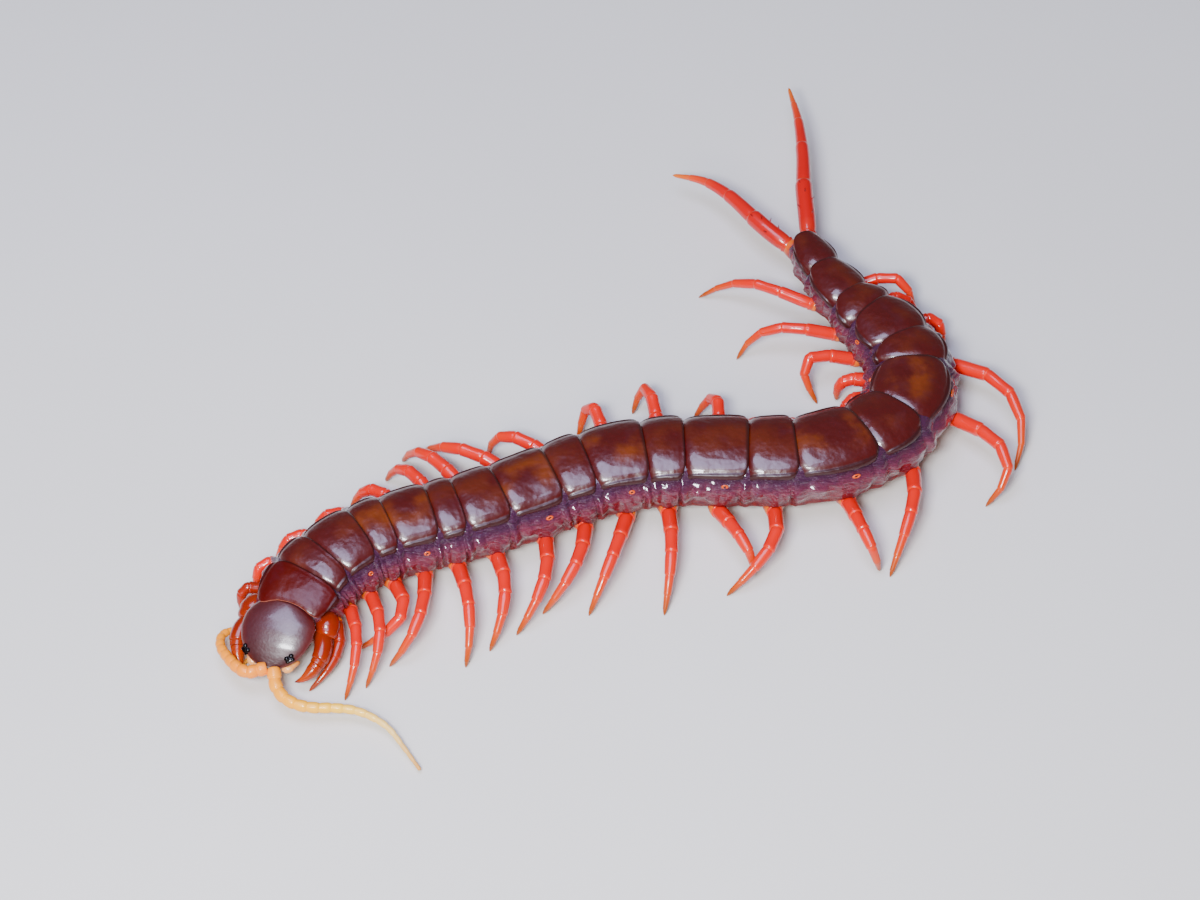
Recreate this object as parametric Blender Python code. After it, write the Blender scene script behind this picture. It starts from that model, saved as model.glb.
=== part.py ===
"""A giant centipede at life size, standing still on the floor in a wide hooked curve.

All sizes below are in millimetres, and new_object turns them into metres. +Z is up, the floor
is Z = 0 and the origin is the middle of the animal's box on the floor. Places along the body
are measured from the neck towards the tail, so the head lies at negative lengths. "Out" is
away from the body's middle plane, and "forward" is towards the head.
"""
import math

import bmesh
import bpy
import numpy as np
from mathutils import Matrix, Vector

METRES = 0.001
GAP = 0.3
SMOOTH_ANGLE = 35.0

# Body line: length of each of the 21 segments and how far the line turns over it, in degrees.
SEGMENTS = [
    (6.4, -14), (3.9, -8), (7.3, -15), (4.9, -9), (7.4, -6), (4.6, 2), (7.3, 5),
    (9.3, -1), (6.2, -4), (9.9, -10), (6.6, -7), (10.7, -4), (7.8, 6), (12.1, 26),
    (8.3, 22), (11.0, 38), (6.1, 26), (8.5, 18), (5.2, -7), (8.4, -10), (7.6, -3),
]
NECK = (-55.515, -47.696)
NECK_HEADING = 69.0
HEAD_HEADING = 74.0
HEAD_LENGTH = 11.2
LINE_STEP = 0.1
DIRECTION_SHARE = 0.02
TINY = 0.001

# Height of the back above the floor in the middle of the trunk, and the pitch of the line in
# degrees by place, positive where it falls towards the head.
BACK_HEIGHT = 12.4
PITCH_AT = [(-4.0, 25.0), (0.0, 12.0), (12.0, 5.0), (18.0, 0.0), (46.0, 0.0), (50.0, 4.0), (60.0, 4.0),
            (64.0, 0.0), (98.0, 0.0), (102.0, -4.0), (112.0, -4.0), (116.0, -1.0), (132.0, -4.0)]
LEVEL_PLACE = 30.0

# Trunk: width over the back plates, depth of the body and how far the flanks lie inside the
# plates, by segment number. The trunk is divided into lengths of three segments.
WIDTH_AT = [(0, 12.6), (1, 13.6), (3, 14.0), (8, 14.5), (14, 14.5), (16, 14.0),
            (17, 13.3), (18, 12.3), (19, 10.0), (20, 8.2), (21, 6.4)]
DEPTH_AT = [(0, 7.8), (2, 9.6), (4, 10.2), (9, 10.4), (14, 10.4), (16, 10.0), (18, 9.0), (20, 7.8), (21, 6.6)]
FLANK_INSET = [(0, 0.0), (17, 0.0), (18, 0.5), (19, 1.1), (21, 1.0)]
SEGMENTS_PER_LENGTH = 3
LENGTH_GAP = 0.42

# Stations along one segment: place, lift of the back plate, share of its width, and bulge of
# the soft side, largest beside the coxa.
STATIONS = [
    (0.0, 0.0, 0.95, 0.3),
    (0.14, 0.2, 0.975, 0.8),
    (0.6, 0.35, 1.0, 1.0),
    (0.95, 0.5, 0.99, 0.6),
]

# One section of the trunk, from the middle of the back round to the belly. Heights are shares
# of the body's depth. Back plate: share of the half width and drop. Side: distance inside the
# flank, share of the bulge, and drop. Belly plate: share of the flank and drop.
PLATE_SPREAD = 0.9
PLATE_ARCH = [(0.0, 0.0), (0.42, 0.022), (0.76, 0.083)]
EDGE_DROPS = (0.194, 0.239)
EDGE_INSET = 0.15
PLATE_SHARE = [(0, 1.0), (1, 0.97), (3, 0.87), (8, 0.88), (10, 0.95), (15, 0.95), (18, 1.0)]
EDGE_UNDER = (0.4, 0.27)
SIDE = [(0.25, 0.083, 0.42), (0.15, 0.04, 0.58), (0.45, 0.0, 0.74)]
BELLY = [(0.93, 0.87), (0.72, 0.98)]

# Coxae: place along the segment, height of the middle, distance of the face outside the flank,
# and the most that it leans forward or upward, in degrees.
COXA_PLACE = 0.58
COXA_HEIGHT = [(0, 4.4), (16, 4.4), (18, 4.7), (20, 5.0)]
COXA_RADIUS = 1.4
COXA_OUT = [(0, 0.35), (7, 0.35), (8, 0.42), (16, 0.35), (17, 0.6), (18, 0.95), (19, 1.15), (20, 1.05)]
COXA_LEAN = 35.0
COXA_RISE = 20.0
COXA_ROOT = 3.0
COXA_SIDES = 8

# Legs: sides of the solid, points along a curve, and the radius at shares of the length.
LEG_SIDES = 8
CURVE_POINTS = 32
SPAN_POINTS = 8
LEG_RADII = [(0.0, 1.15), (0.1, 1.25), (0.3, 1.1), (0.42, 0.98), (0.56, 0.98),
             (0.7, 0.74), (0.84, 0.56), (0.96, 0.34), (1.0, 0.26)]

# Thickness of a leg as a share of LEG_RADII, by segment number.
LEG_GIRTH = [(1, 0.85), (4, 1.0), (16, 1.0), (20, 0.82)]

# Pose of each leg: knee out, forward and height, then foot out and forward, from its coxa.
LEFT_LEGS = [
    (2.3, 6.0, 2.8, 1.5, 11.2), (6.4, 5.5, 5.4, 9.4, 12.0), (8.2, 4.0, 5.8, 12.2, 10.0),
    (7.6, 2.2, 5.8, 6.5, 9.6), (10.0, 4.4, 5.8, 13.0, 10.4), (10.6, 1.2, 5.8, 17.2, 4.0),
    (9.2, 2.0, 5.8, 15.0, 7.0), (8.8, 4.0, 5.8, 13.4, 10.8), (8.0, 4.8, 5.8, 11.6, 11.8),
    (9.0, 4.8, 5.8, 15.6, 10.2), (9.4, 0.4, 5.8, 18.4, 2.4), (8.2, -4.2, 6.2, 10.0, -6.0),
    (8.2, 1.0, 5.8, 14.4, 8.4), (10.0, 0.4, 6.2, 12.4, -1.0), (6.6, 8.0, 6.0, 11.2, 16.4),
    (11.0, 7.0, 6.0, 9.4, 14.0), (7.6, 12.0, 5.6, 5.0, 22.2), (3.4, 1.6, 5.6, 2.6, 5.0),
    (4.0, 1.7, 6.0, 4.2, 6.4), (6.5, 3.6, 7.4, 7.6, 8.4),
]
RIGHT_LEGS = [
    (2.4, 1.8, 4.8, 1.4, 3.6), (2.2, 3.2, 5.2, 1.6, 5.2), (2.5, 3.5, 5.2, 2.5, 7.0),
    (2.8, 3.5, 5.2, 2.8, 7.5), (4.5, 3.0, 5.4, 6.0, 6.5), (6.5, 2.5, 5.6, 9.5, 5.5),
    (8.5, 3.5, 5.8, 13.0, 6.5), (7.4, 6.6, 5.8, 13.4, 11.0), (6.6, 5.8, 5.8, 8.2, 8.8),
    (8.4, 0.6, 6.0, 6.4, 3.4), (10.4, 1.0, 6.0, 10.0, 3.6), (8.0, 0.0, 6.0, 8.4, 3.6),
    (3.0, 1.5, 5.4, 6.0, 4.5), (3.0, 2.0, 5.2, 5.5, 6.0), (2.4, 2.0, 4.6, 3.4, 5.4),
    (2.8, 1.6, 4.2, 3.2, 4.6), (3.9, -1.0, 4.2, 4.9, -0.7), (7.2, -4.4, 6.0, 8.8, 1.0),
    (6.6, -8.0, 6.2, 14.2, -9.9), (4.4, -8.8, 6.8, 13.8, -15.6),
]

# Last pair of legs, held up behind: points back from the tail's end, out to the left, height.
LAST_LEG_LINES = {
    "left": [(1.9, 1.9, 6.2), (6.0, 3.6, 7.0), (12.0, 5.9, 7.6), (20.0, 9.6, 7.5),
             (29.0, 13.1, 6.6), (38.2, 15.7, 5.5)],
    "right": [(1.6, -1.9, 6.2), (5.6, -3.9, 7.0), (9.8, -5.2, 7.3), (16.6, -6.7, 7.0),
              (22.4, -9.0, 6.2), (27.0, -12.9, 5.0)],
}
LAST_LEG_RADII = [(0.0, 1.35), (0.08, 1.55), (0.28, 1.4), (0.5, 1.15), (0.66, 0.95),
                  (0.82, 0.66), (0.95, 0.36), (1.0, 0.25)]
LAST_COXA_RADII = (1.44, 1.6)
LAST_COXA_ROOT = 3.4

# Spines on the first part of a last leg: share of its length and turn about it in degrees.
LAST_LEG_SPINES = [(0.16, 40.0), (0.2, 140.0), (0.235, 90.0)]
SPINE_LENGTH = 1.0
SPINE_RADII = (0.36, 0.07)
SPINE_SIDES = 5
SPINE_SLANT = 0.5
SPINE_SINK = 0.5

# Head: place along it, half width, drop of the back line, and depth.
HEAD_SECTIONS = [
    (0.0, 4.7, 0.0, 3.9), (1.2, 5.5, -0.1, 4.0), (3.4, 6.05, -0.1, 3.9), (5.6, 6.05, 0.0, 3.5),
    (7.7, 5.4, 0.2, 2.7), (9.5, 4.3, 0.5, 2.0), (10.6, 3.0, 0.8, 1.6), (11.2, 1.8, 1.0, 1.3),
]

# Half of a section of the head: share of its half width, and drop as a share of its depth.
HEAD_OUTLINE = [(0.0, 0.0), (0.42, 0.05), (0.78, 0.2), (1.0, 0.5), (0.94, 0.66), (0.66, 1.0)]

# Eyes: place along the head and distance from its middle, radii, and how far they lie inside.
EYE_PLACE = (9.3, 3.0)
EYE_RADII = (1.0, 0.85, 0.75)
EYE_SINK = 0.25
EYE_MESH = (8, 6)

# Roots of the antennae on the head.
ROOT_SIDES = 8
SOCKET_RADII = (1.05, 1.25)
SOCKET_LENGTH = 2.0

# Lines in the head's own directions: forward of the neck, out to the left, and height.
ANTENNA_LINES = {
    "left": [(11.3, 1.6, 4.7), (12.5, 2.2, 4.3), (14.0, 3.9, 3.9), (14.6, 6.4, 3.5),
             (14.2, 9.3, 3.2), (13.3, 12.1, 3.0), (12.7, 15.1, 2.8), (12.8, 18.1, 2.4),
             (13.9, 21.5, 1.9), (16.5, 24.9, 1.4), (19.6, 28.6, 0.9)],
    "right": [(11.0, -1.4, 5.1), (11.7, -2.8, 5.0), (11.2, -4.6, 4.8), (9.6, -6.8, 4.4), (7.3, -9.0, 3.7),
              (4.8, -9.9, 3.0), (2.8, -9.2, 2.2), (2.2, -7.4, 1.4), (3.2, -5.4, 1.0),
              (5.2, -4.6, 0.9), (7.0, -5.2, 0.8), (7.8, -6.8, 0.8)],
}
ANTENNA_RADII = [(0.0, 1.2), (0.25, 1.0), (0.5, 0.78), (0.75, 0.5), (1.0, 0.3)]
ANTENNA_ARTICLES = 17
ANTENNA_WAIST = 0.86
ANTENNA_SIDES = 8

# Poison claws: line of the left one, share of its spread on each side, and radius along it.
# Then the plate that carries them: its half width, front and heights, and a boss on each side.
CLAW_LINE = [(0.9, 5.6, 4.7), (2.8, 7.0, 4.75), (5.2, 7.3, 4.2), (7.4, 6.6, 3.3),
             (9.0, 5.5, 2.7), (9.6, 4.2, 2.1)]
CLAW_SPREAD = {"left": 1.0, "right": 0.93}
CLAW_RADII = [(0.0, 1.3), (0.2, 1.65), (0.5, 1.38), (0.68, 1.0), (0.85, 0.6), (1.0, 0.25)]
CLAW_BASE_HALF = 3.4
CLAW_BASE_FRONT = 4.7
CLAW_BASE_HEIGHTS = (2.3, 4.9)
CLAW_BOSS = (1.8, 2.2, 3.7)
CLAW_BOSS_RADII = (1.05, 1.24)
CLAW_SIDES = 10
CLAW_BASE_PLACES = [(0.45, 0.96, 1.0), (2.2, 1.0, 1.0), (4.0, 0.9, 0.92), (CLAW_BASE_FRONT, 0.76, 0.8)]
CLAW_BASE_FLAT = 0.7
CLAW_BASE_EDGES = (0.35, 0.65)

# Feelers of the mouth, seen below the front of the head.
PALP_LINE = [(6.9, 2.6, 4.0), (7.6, 2.9, 3.2), (8.6, 3.0, 2.8), (9.7, 2.2, 2.6)]
PALP_RADII = [(0.0, 0.55), (0.4, 0.65), (0.8, 0.5), (1.0, 0.3)]
PALP_SIDES = 8
PALP_ROOT = 2.0
PALP_ROOT_RADII = (0.7, 0.6)

COLOURS = {
    "plate": ((0.16, 0.022, 0.016), 0.25),
    "head": ((0.2, 0.04, 0.03), 0.22),
    "eye": ((0.012, 0.01, 0.012), 0.1),
    "antenna": ((0.85, 0.52, 0.18), 0.4),
    "claw": ((0.42, 0.07, 0.015), 0.25),
    "palp": ((0.8, 0.45, 0.16), 0.4),
    "leg": ((0.72, 0.06, 0.025), 0.3),
}


def profile(pairs, place):
    """The value at a place between a few named ones."""
    places, values = zip(*pairs)
    return float(np.interp(place, places, values))


class BodyLine:
    """The line along the middle of the back, from the head's front to the tail."""

    def __init__(self):
        lengths, turns = zip(*SEGMENTS)
        self.joints = np.concatenate([[0.0], np.cumsum(lengths)])
        headings = NECK_HEADING + np.concatenate([[0.0], np.cumsum(turns)])
        self.places = np.arange(-HEAD_LENGTH - LINE_STEP, self.joints[-1] + LINE_STEP, LINE_STEP)
        heading = np.interp(self.places, [-HEAD_LENGTH / 2, *self.joints], [HEAD_HEADING, *headings])
        pitch = np.interp(self.places, *zip(*PITCH_AT))
        self.heading = np.radians(heading)
        self.pitch = np.radians(pitch)
        steps = LINE_STEP * np.stack([
            np.cos(self.pitch) * np.cos(self.heading),
            np.cos(self.pitch) * np.sin(self.heading),
            np.sin(self.pitch),
        ], axis=1)
        points = np.cumsum(steps, axis=0)
        at_neck = np.argmin(np.abs(self.places))
        level = np.argmin(np.abs(self.places - LEVEL_PLACE))
        shift = np.array([
            NECK[0] - points[at_neck, 0], NECK[1] - points[at_neck, 1], BACK_HEIGHT - points[level, 2],
        ])
        self.points = points + shift

    def frame(self, place):
        """(point on the back, forward, left, up) at a length along the body."""
        point = Vector(np.interp(place, self.places, self.points[:, i]) for i in range(3))
        heading = float(np.interp(place, self.places, self.heading))
        pitch = float(np.interp(place, self.places, self.pitch))
        left = Vector((math.sin(heading), -math.cos(heading), 0.0))
        forward = -Vector((
            math.cos(pitch) * math.cos(heading), math.cos(pitch) * math.sin(heading), math.sin(pitch),
        ))
        return point, forward, left, forward.cross(left)

    def segment_at(self, place):
        """The segment number at a place, with its fraction, such as 3.5 in the middle of the fourth."""
        return float(np.interp(place, self.joints, range(len(self.joints))))


LINE = BodyLine()


def new_object(name, verts, faces, colour):
    """One named object from points in millimetres."""
    mesh = bpy.data.meshes.new(name)
    mesh.from_pydata([tuple(METRES * c for c in v) for v in verts], [], faces)
    obj = bpy.data.objects.new(name, mesh)
    bpy.context.scene.collection.objects.link(obj)
    obj.data.materials.append(material(colour))
    return obj


def material(name):
    found = bpy.data.materials.get(name)
    if found:
        return found
    colour, roughness = COLOURS[name]
    made = bpy.data.materials.new(name)
    made.use_nodes = True
    shader = made.node_tree.nodes["Principled BSDF"]
    shader.inputs["Base Color"].default_value = (*colour, 1.0)
    shader.inputs["Roughness"].default_value = roughness
    shader.inputs["Metallic"].default_value = 0.0
    return made


def loft(rings):
    """(points, faces) of a closed body through rings of equal count, with flat ends."""
    count = len(rings[0])
    verts = [point for ring in rings for point in ring]
    faces = []
    for k in range(len(rings) - 1):
        for i in range(count):
            j = (i + 1) % count
            low, high = k * count, (k + 1) * count
            faces.append((low + i, low + j, high + j, high + i))
    faces.append(tuple(reversed(range(count))))
    last = (len(rings) - 1) * count
    faces.append(tuple(last + i for i in range(count)))
    return verts, faces


def smooth_line(points):
    """A Catmull-Rom curve through the points."""
    pts = [Vector(p) for p in points]
    pts = [2 * pts[0] - pts[1], *pts, 2 * pts[-1] - pts[-2]]
    curve = []
    for a, b, c, d in zip(pts, pts[1:], pts[2:], pts[3:]):
        for k in range(SPAN_POINTS):
            t = k / SPAN_POINTS
            curve.append(0.5 * (
                2 * b + (c - a) * t + (2 * a - 5 * b + 4 * c - d) * t ** 2
                + (3 * b - a - 3 * c + d) * t ** 3
            ))
    curve.append(pts[-2])
    return curve


def at_shares(curve, shares):
    """Points of a curve at shares of its length, with the direction there."""
    steps = [0.0]
    for a, b in zip(curve, curve[1:]):
        steps.append(steps[-1] + (b - a).length)
    cumulative = np.array(steps) / steps[-1]
    coords = np.array([tuple(p) for p in curve])
    found = []
    for share in shares:
        point = Vector(np.interp(share, cumulative, coords[:, i]) for i in range(3))
        ahead, behind = min(1.0, share + DIRECTION_SHARE), max(0.0, share - DIRECTION_SHARE)
        along = Vector(
            np.interp(ahead, cumulative, coords[:, i]) - np.interp(behind, cumulative, coords[:, i])
            for i in range(3)
        )
        found.append((point, along.normalized()))
    return found


def ring(centre, along, radius, sides, up=Vector((0, 0, 1))):
    """A regular ring across a direction, counter-clockwise seen from its front."""
    side = up.cross(along)
    if side.length < TINY:
        side = Vector((1, 0, 0)).cross(along)
    side.normalize()
    over = along.cross(side)
    turns = [math.tau * (i + 0.5) / sides for i in range(sides)]
    return [centre + radius * (math.cos(t) * side + math.sin(t) * over) for t in turns]


def tube(curve, stations, sides):
    """A round body along a curve, from (share of the length, radius) stations."""
    frames = at_shares(curve, [share for share, _ in stations])
    return [ring(p, d, r, sides) for (p, d), (_, r) in zip(frames, stations)]


def segment_width(segment):
    return profile(WIDTH_AT, segment)


def trunk_ring(place, lift, share, bulge):
    """One section of the trunk: back plate above, soft side, and belly plate below."""
    point, _, left, up = LINE.frame(place)
    segment = LINE.segment_at(place)
    half = share * segment_width(segment) / 2
    flank = half - profile(FLANK_INSET, segment)
    depth = profile(DEPTH_AT, segment)
    half *= profile(PLATE_SHARE, segment)
    plate = half + lift * PLATE_SPREAD
    outline = [(part_of * half, lift - drop * depth) for part_of, drop in PLATE_ARCH]
    outline += [(plate, lift - EDGE_DROPS[0] * depth), (plate - EDGE_INSET, lift - EDGE_DROPS[1] * depth)]
    outline += [(plate - EDGE_UNDER[0], -EDGE_UNDER[1] * depth)]
    outline += [(flank - inset + swell * bulge * depth, -drop * depth) for inset, swell, drop in SIDE]
    outline += [(part_of * flank, -drop * depth) for part_of, drop in BELLY]
    section = outline + [(0.0, -depth)] + [(-u, c) for u, c in reversed(outline[1:])]
    return [point + left * u + up * c for u, c in section]


def coxa_frame(number, side):
    """(centre of the coxa's end face, out, forward) for a leg; side is 1 for left, -1 for right."""
    start, end = LINE.joints[number - 1], LINE.joints[number]
    point, forward, left, _ = LINE.frame(start + COXA_PLACE * (end - start))
    out = left * side
    forward = Vector((forward.x, forward.y, 0.0)).normalized()
    flank = segment_width(number) / 2 - profile(FLANK_INSET, number)
    centre = point + out * (flank + profile(COXA_OUT, number))
    centre.z = profile(COXA_HEIGHT, number)
    return centre, out, forward


def leg_curve(number, side):
    """The middle line of a leg from its coxa's face to its foot, by way of the knee."""
    knee_out, knee_forward, knee_height, foot_out, foot_forward = (
        LEFT_LEGS if side > 0 else RIGHT_LEGS)[number - 1]
    centre, out, forward = coxa_frame(number, side)
    knee = centre + out * knee_out + forward * knee_forward
    knee.z = knee_height
    foot = centre + out * foot_out + forward * foot_forward
    foot.z = 0.0
    pull = 2 * knee - (centre + foot) / 2
    reach = pull - centre
    limit = math.radians(COXA_LEAN)
    lean = max(-limit, min(limit, math.atan2(reach.dot(forward), reach.dot(out))))
    level = math.hypot(reach.dot(forward), reach.dot(out))
    along = (out * math.cos(lean) + forward * math.sin(lean)) * level
    along.z = min(reach.z, level * math.tan(math.radians(COXA_RISE)))
    along.normalize()
    start = centre + along * GAP
    first = start + along * reach.length * 2 / 3
    second = foot + (pull - foot) * 2 / 3
    return cubic_curve(start, first, second, foot), along


def cubic_curve(start, first, second, end):
    """Points of a cubic Bezier curve."""
    curve = []
    for k in range(CURVE_POINTS + 1):
        t = k / CURVE_POINTS
        s = 1 - t
        curve.append(s ** 3 * start + 3 * s * s * t * first + 3 * s * t * t * second + t ** 3 * end)
    return curve


def join(base, pieces):
    """Fuses closed pieces into one body and keeps its largest closed surface."""
    group = bpy.data.collections.new("pieces of " + base.name)
    bpy.context.scene.collection.children.link(group)
    for piece in pieces:
        bpy.context.scene.collection.objects.unlink(piece)
        group.objects.link(piece)
    union = base.modifiers.new("union", "BOOLEAN")
    union.operation = "UNION"
    union.operand_type = "COLLECTION"
    union.solver = "EXACT"
    union.collection = group
    with bpy.context.temp_override(object=base, active_object=base, selected_objects=[base]):
        bpy.ops.object.modifier_apply(modifier=union.name)
    for piece in pieces:
        bpy.data.objects.remove(piece)
    bpy.data.collections.remove(group)
    keep_largest(base)


def keep_largest(obj):
    """Drops all but the largest connected surface."""
    shape = bmesh.new()
    shape.from_mesh(obj.data)
    left_over = set(shape.verts)
    islands = []
    while left_over:
        found = {left_over.pop()}
        edge = set(found)
        while edge:
            edge = {e.other_vert(v) for v in edge for e in v.link_edges} - found
            found |= edge
        left_over -= found
        islands.append(found)
    islands.sort(key=len)
    bmesh.ops.delete(shape, geom=[v for island in islands[:-1] for v in island], context="VERTS")
    shape.to_mesh(obj.data)
    shape.free()


def finish(obj):
    """Outward faces and smooth shading between gentle edges."""
    shape = bmesh.new()
    shape.from_mesh(obj.data)
    bmesh.ops.recalc_face_normals(shape, faces=shape.faces)
    shape.to_mesh(obj.data)
    shape.free()
    obj.data.shade_smooth()
    obj.data.set_sharp_from_angle(angle=math.radians(SMOOTH_ANGLE))
    return obj


def make_trunk_length(index):
    """Three segments of the trunk with their raised plates and the coxae that carry the legs."""
    first = index * SEGMENTS_PER_LENGTH
    numbers = range(first + 1, first + 1 + SEGMENTS_PER_LENGTH)
    rings = []
    for number in numbers:
        start, end = LINE.joints[number - 1], LINE.joints[number]
        for share, lift, width, bulge in STATIONS:
            place = start + share * (end - start)
            if number == numbers[0] and share == 0.0:
                place += LENGTH_GAP / 2
            rings.append(trunk_ring(place, lift, width, bulge))
    _, lift, width, bulge = STATIONS[0]
    rings.append(trunk_ring(LINE.joints[numbers[-1]] - LENGTH_GAP / 2, lift, width, bulge))
    trunk = new_object(f"trunk_{index + 1}", *loft(rings), "plate")
    finish(trunk)
    pieces = []
    for number in numbers:
        for side in (1, -1):
            if number == len(SEGMENTS):
                pieces.append(make_last_coxa(side))
                continue
            curve, along = leg_curve(number, side)
            _, out, _ = coxa_frame(number, side)
            face = curve[0] - along * GAP
            root = face - out * COXA_ROOT
            ends = [ring(root, out, COXA_RADIUS, COXA_SIDES), ring(face, along, COXA_RADIUS, COXA_SIDES)]
            pieces.append(finish(new_object("coxa", *loft(ends), "plate")))
    join(trunk, pieces)
    return finish(trunk)


def last_leg_points(side):
    """The line of one of the last legs in the world's directions."""
    point, forward, left, _ = LINE.frame(LINE.joints[-1])
    forward = Vector((forward.x, forward.y, 0.0)).normalized()
    points = []
    for back, out, height in LAST_LEG_LINES["left" if side > 0 else "right"]:
        place = point - forward * back + left * out
        place.z = height
        points.append(place)
    return smooth_line(points)


def make_last_coxa(side):
    """The pleuron behind the last plate, which carries a last leg."""
    curve = last_leg_points(side)
    along = (curve[1] - curve[0]).normalized()
    face = curve[0] - along * GAP
    root = face - along * LAST_COXA_ROOT
    small, large = LAST_COXA_RADII
    ends = [ring(root, along, small, COXA_SIDES), ring(face, along, large, COXA_SIDES)]
    return finish(new_object("coxa", *loft(ends), "plate"))


def make_leg(number, side):
    """A walking leg that ends on a small flat on the floor."""
    curve, along = leg_curve(number, side)
    girth = profile(LEG_GIRTH, number)
    radii = [(share, girth * radius) for share, radius in LEG_RADII]
    rings = tube(curve, radii, LEG_SIDES)
    rings[0] = ring(curve[0], along, radii[0][1], LEG_SIDES)
    rings[-1] = flat_ring(curve[-1], rings[-2], LEG_RADII[-1][1])
    name = f"leg_{'left' if side > 0 else 'right'}_{number:02d}"
    return finish(new_object(name, *loft(rings), "leg"))


def flat_ring(centre, before, radius):
    """A level ring whose corners follow those of the ring before it."""
    middle = sum(before, Vector()) / len(before)
    reach = max((p - middle).length for p in before)
    return [centre + Vector((p.x - middle.x, p.y - middle.y, 0.0)) * (radius / reach) for p in before]


def make_last_leg(side):
    """One of the last pair of legs, held up behind, with a few spines on its first part."""
    curve = last_leg_points(side)
    rings = tube(curve, LAST_LEG_RADII, LEG_SIDES)
    name = f"leg_{'left' if side > 0 else 'right'}_{len(SEGMENTS):02d}"
    leg = finish(new_object(name, *loft(rings), "leg"))
    pieces = []
    for share, angle in LAST_LEG_SPINES:
        (centre, along), = at_shares(curve, [share])
        across = Vector((0, 0, 1)).cross(along).normalized()
        turn = math.radians(angle)
        out = math.cos(turn) * across + math.sin(turn) * Vector((0, 0, 1)) + SPINE_SLANT * along
        out.normalize()
        radius = profile(LAST_LEG_RADII, share)
        root = centre + out * radius * SPINE_SINK
        tip = centre + out * (radius + SPINE_LENGTH)
        ends = [ring(root, out, SPINE_RADII[0], SPINE_SIDES), ring(tip, out, SPINE_RADII[1], SPINE_SIDES)]
        pieces.append(finish(new_object("spine", *loft(ends), "leg")))
    join(leg, pieces)
    return finish(leg)


def head_point(place, out, down):
    """A point of the head from its length, its distance to the left and its depth below the back."""
    point, _, left, up = LINE.frame(-place)
    return point + left * out - up * down


def head_ring(place, half, drop, depth):
    section = [(share * half, drop + fall * depth) for share, fall in HEAD_OUTLINE]
    full = section + [(0.0, drop + depth)] + [(-u, c) for u, c in reversed(section[1:])]
    return [head_point(place, u, c) for u, c in full]


def in_front(forward_by, out, height):
    """A world point from the neck, in the head's level directions."""
    heading = math.radians(HEAD_HEADING)
    ahead = Vector((-math.cos(heading), -math.sin(heading), 0.0))
    left = Vector((math.sin(heading), -math.cos(heading), 0.0))
    point, _, _, _ = LINE.frame(0.0)
    place = point + ahead * forward_by + left * out
    place.z = height
    return place


def make_stub(curve, length, radii):
    """A short root that ends in a face just before the start of a curve."""
    along = (curve[1] - curve[0]).normalized()
    face = curve[0] - along * GAP
    ends = [ring(face - along * length, along, radii[0], ROOT_SIDES), ring(face, along, radii[1], ROOT_SIDES)]
    return finish(new_object("stub", *loft(ends), "head"))


def make_head():
    """The head shield and capsule, with sockets for the eyes and stubs for the antennae."""
    rings = []
    for place, half, drop, depth in HEAD_SECTIONS:
        rings.append(head_ring(max(place, GAP / 2), half, drop, depth))
    head = finish(new_object("head", *loft(rings), "head"))
    stubs = []
    for side in (1, -1):
        stubs.append(make_stub(antenna_curve(side), SOCKET_LENGTH, SOCKET_RADII))
        stubs.append(make_stub(palp_curve(side), PALP_ROOT, PALP_ROOT_RADII))
    join(head, stubs)
    for side in (1, -1):
        cutter = finish(ellipsoid("socket", eye_centre(side), [r + GAP for r in EYE_RADII]))
        cut = head.modifiers.new("socket", "BOOLEAN")
        cut.operation = "DIFFERENCE"
        cut.solver = "EXACT"
        cut.object = cutter
        with bpy.context.temp_override(object=head, active_object=head, selected_objects=[head]):
            bpy.ops.object.modifier_apply(modifier=cut.name)
        bpy.data.objects.remove(cutter)
    keep_largest(head)
    return finish(head)


def eye_centre(side):
    place, out = EYE_PLACE
    half = profile([(s[0], s[1]) for s in HEAD_SECTIONS], place)
    drop = profile([(s[0], s[2]) for s in HEAD_SECTIONS], place)
    depth = profile([(s[0], s[3]) for s in HEAD_SECTIONS], place)
    surface = drop + depth * profile(HEAD_OUTLINE[:4], out / half)
    return head_point(place, side * out, surface + EYE_SINK)


def ellipsoid(name, centre, radii):
    """A small rounded body aligned with the head."""
    _, forward, left, up = LINE.frame(-EYE_PLACE[0])
    shape = bmesh.new()
    bmesh.ops.create_uvsphere(shape, u_segments=EYE_MESH[0], v_segments=EYE_MESH[1], radius=1.0)
    turned = Matrix((forward, left, up)).transposed()
    for vert in shape.verts:
        scaled = Vector(c * r for c, r in zip(vert.co, radii))
        vert.co = (centre + turned @ scaled) * METRES
    mesh = bpy.data.meshes.new(name)
    shape.to_mesh(mesh)
    shape.free()
    obj = bpy.data.objects.new(name, mesh)
    bpy.context.scene.collection.objects.link(obj)
    mesh.materials.append(material("eye"))
    return obj


def antenna_curve(side):
    points = [in_front(*p) for p in ANTENNA_LINES["left" if side > 0 else "right"]]
    return smooth_line(points)


def make_antenna(side):
    """A jointed antenna: each article swells a little between narrow waists."""
    stations = []
    for article in range(ANTENNA_ARTICLES):
        start, end = article / ANTENNA_ARTICLES, (article + 1) / ANTENNA_ARTICLES
        middle = (start + end) / 2
        stations.append((start, profile(ANTENNA_RADII, start) * (ANTENNA_WAIST if article else 1.0)))
        stations.append((middle, profile(ANTENNA_RADII, middle)))
    stations.append((1.0, ANTENNA_RADII[-1][1] * ANTENNA_WAIST))
    rings = tube(antenna_curve(side), stations, ANTENNA_SIDES)
    name = f"antenna_{'left' if side > 0 else 'right'}"
    return finish(new_object(name, *loft(rings), "antenna"))


def mirrored(points, side):
    return [in_front(ahead, side * out, height) for ahead, out, height in points]


def claw_curve(side):
    spread = CLAW_SPREAD["left" if side > 0 else "right"]
    return smooth_line(mirrored(CLAW_LINE, side * spread))


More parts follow.
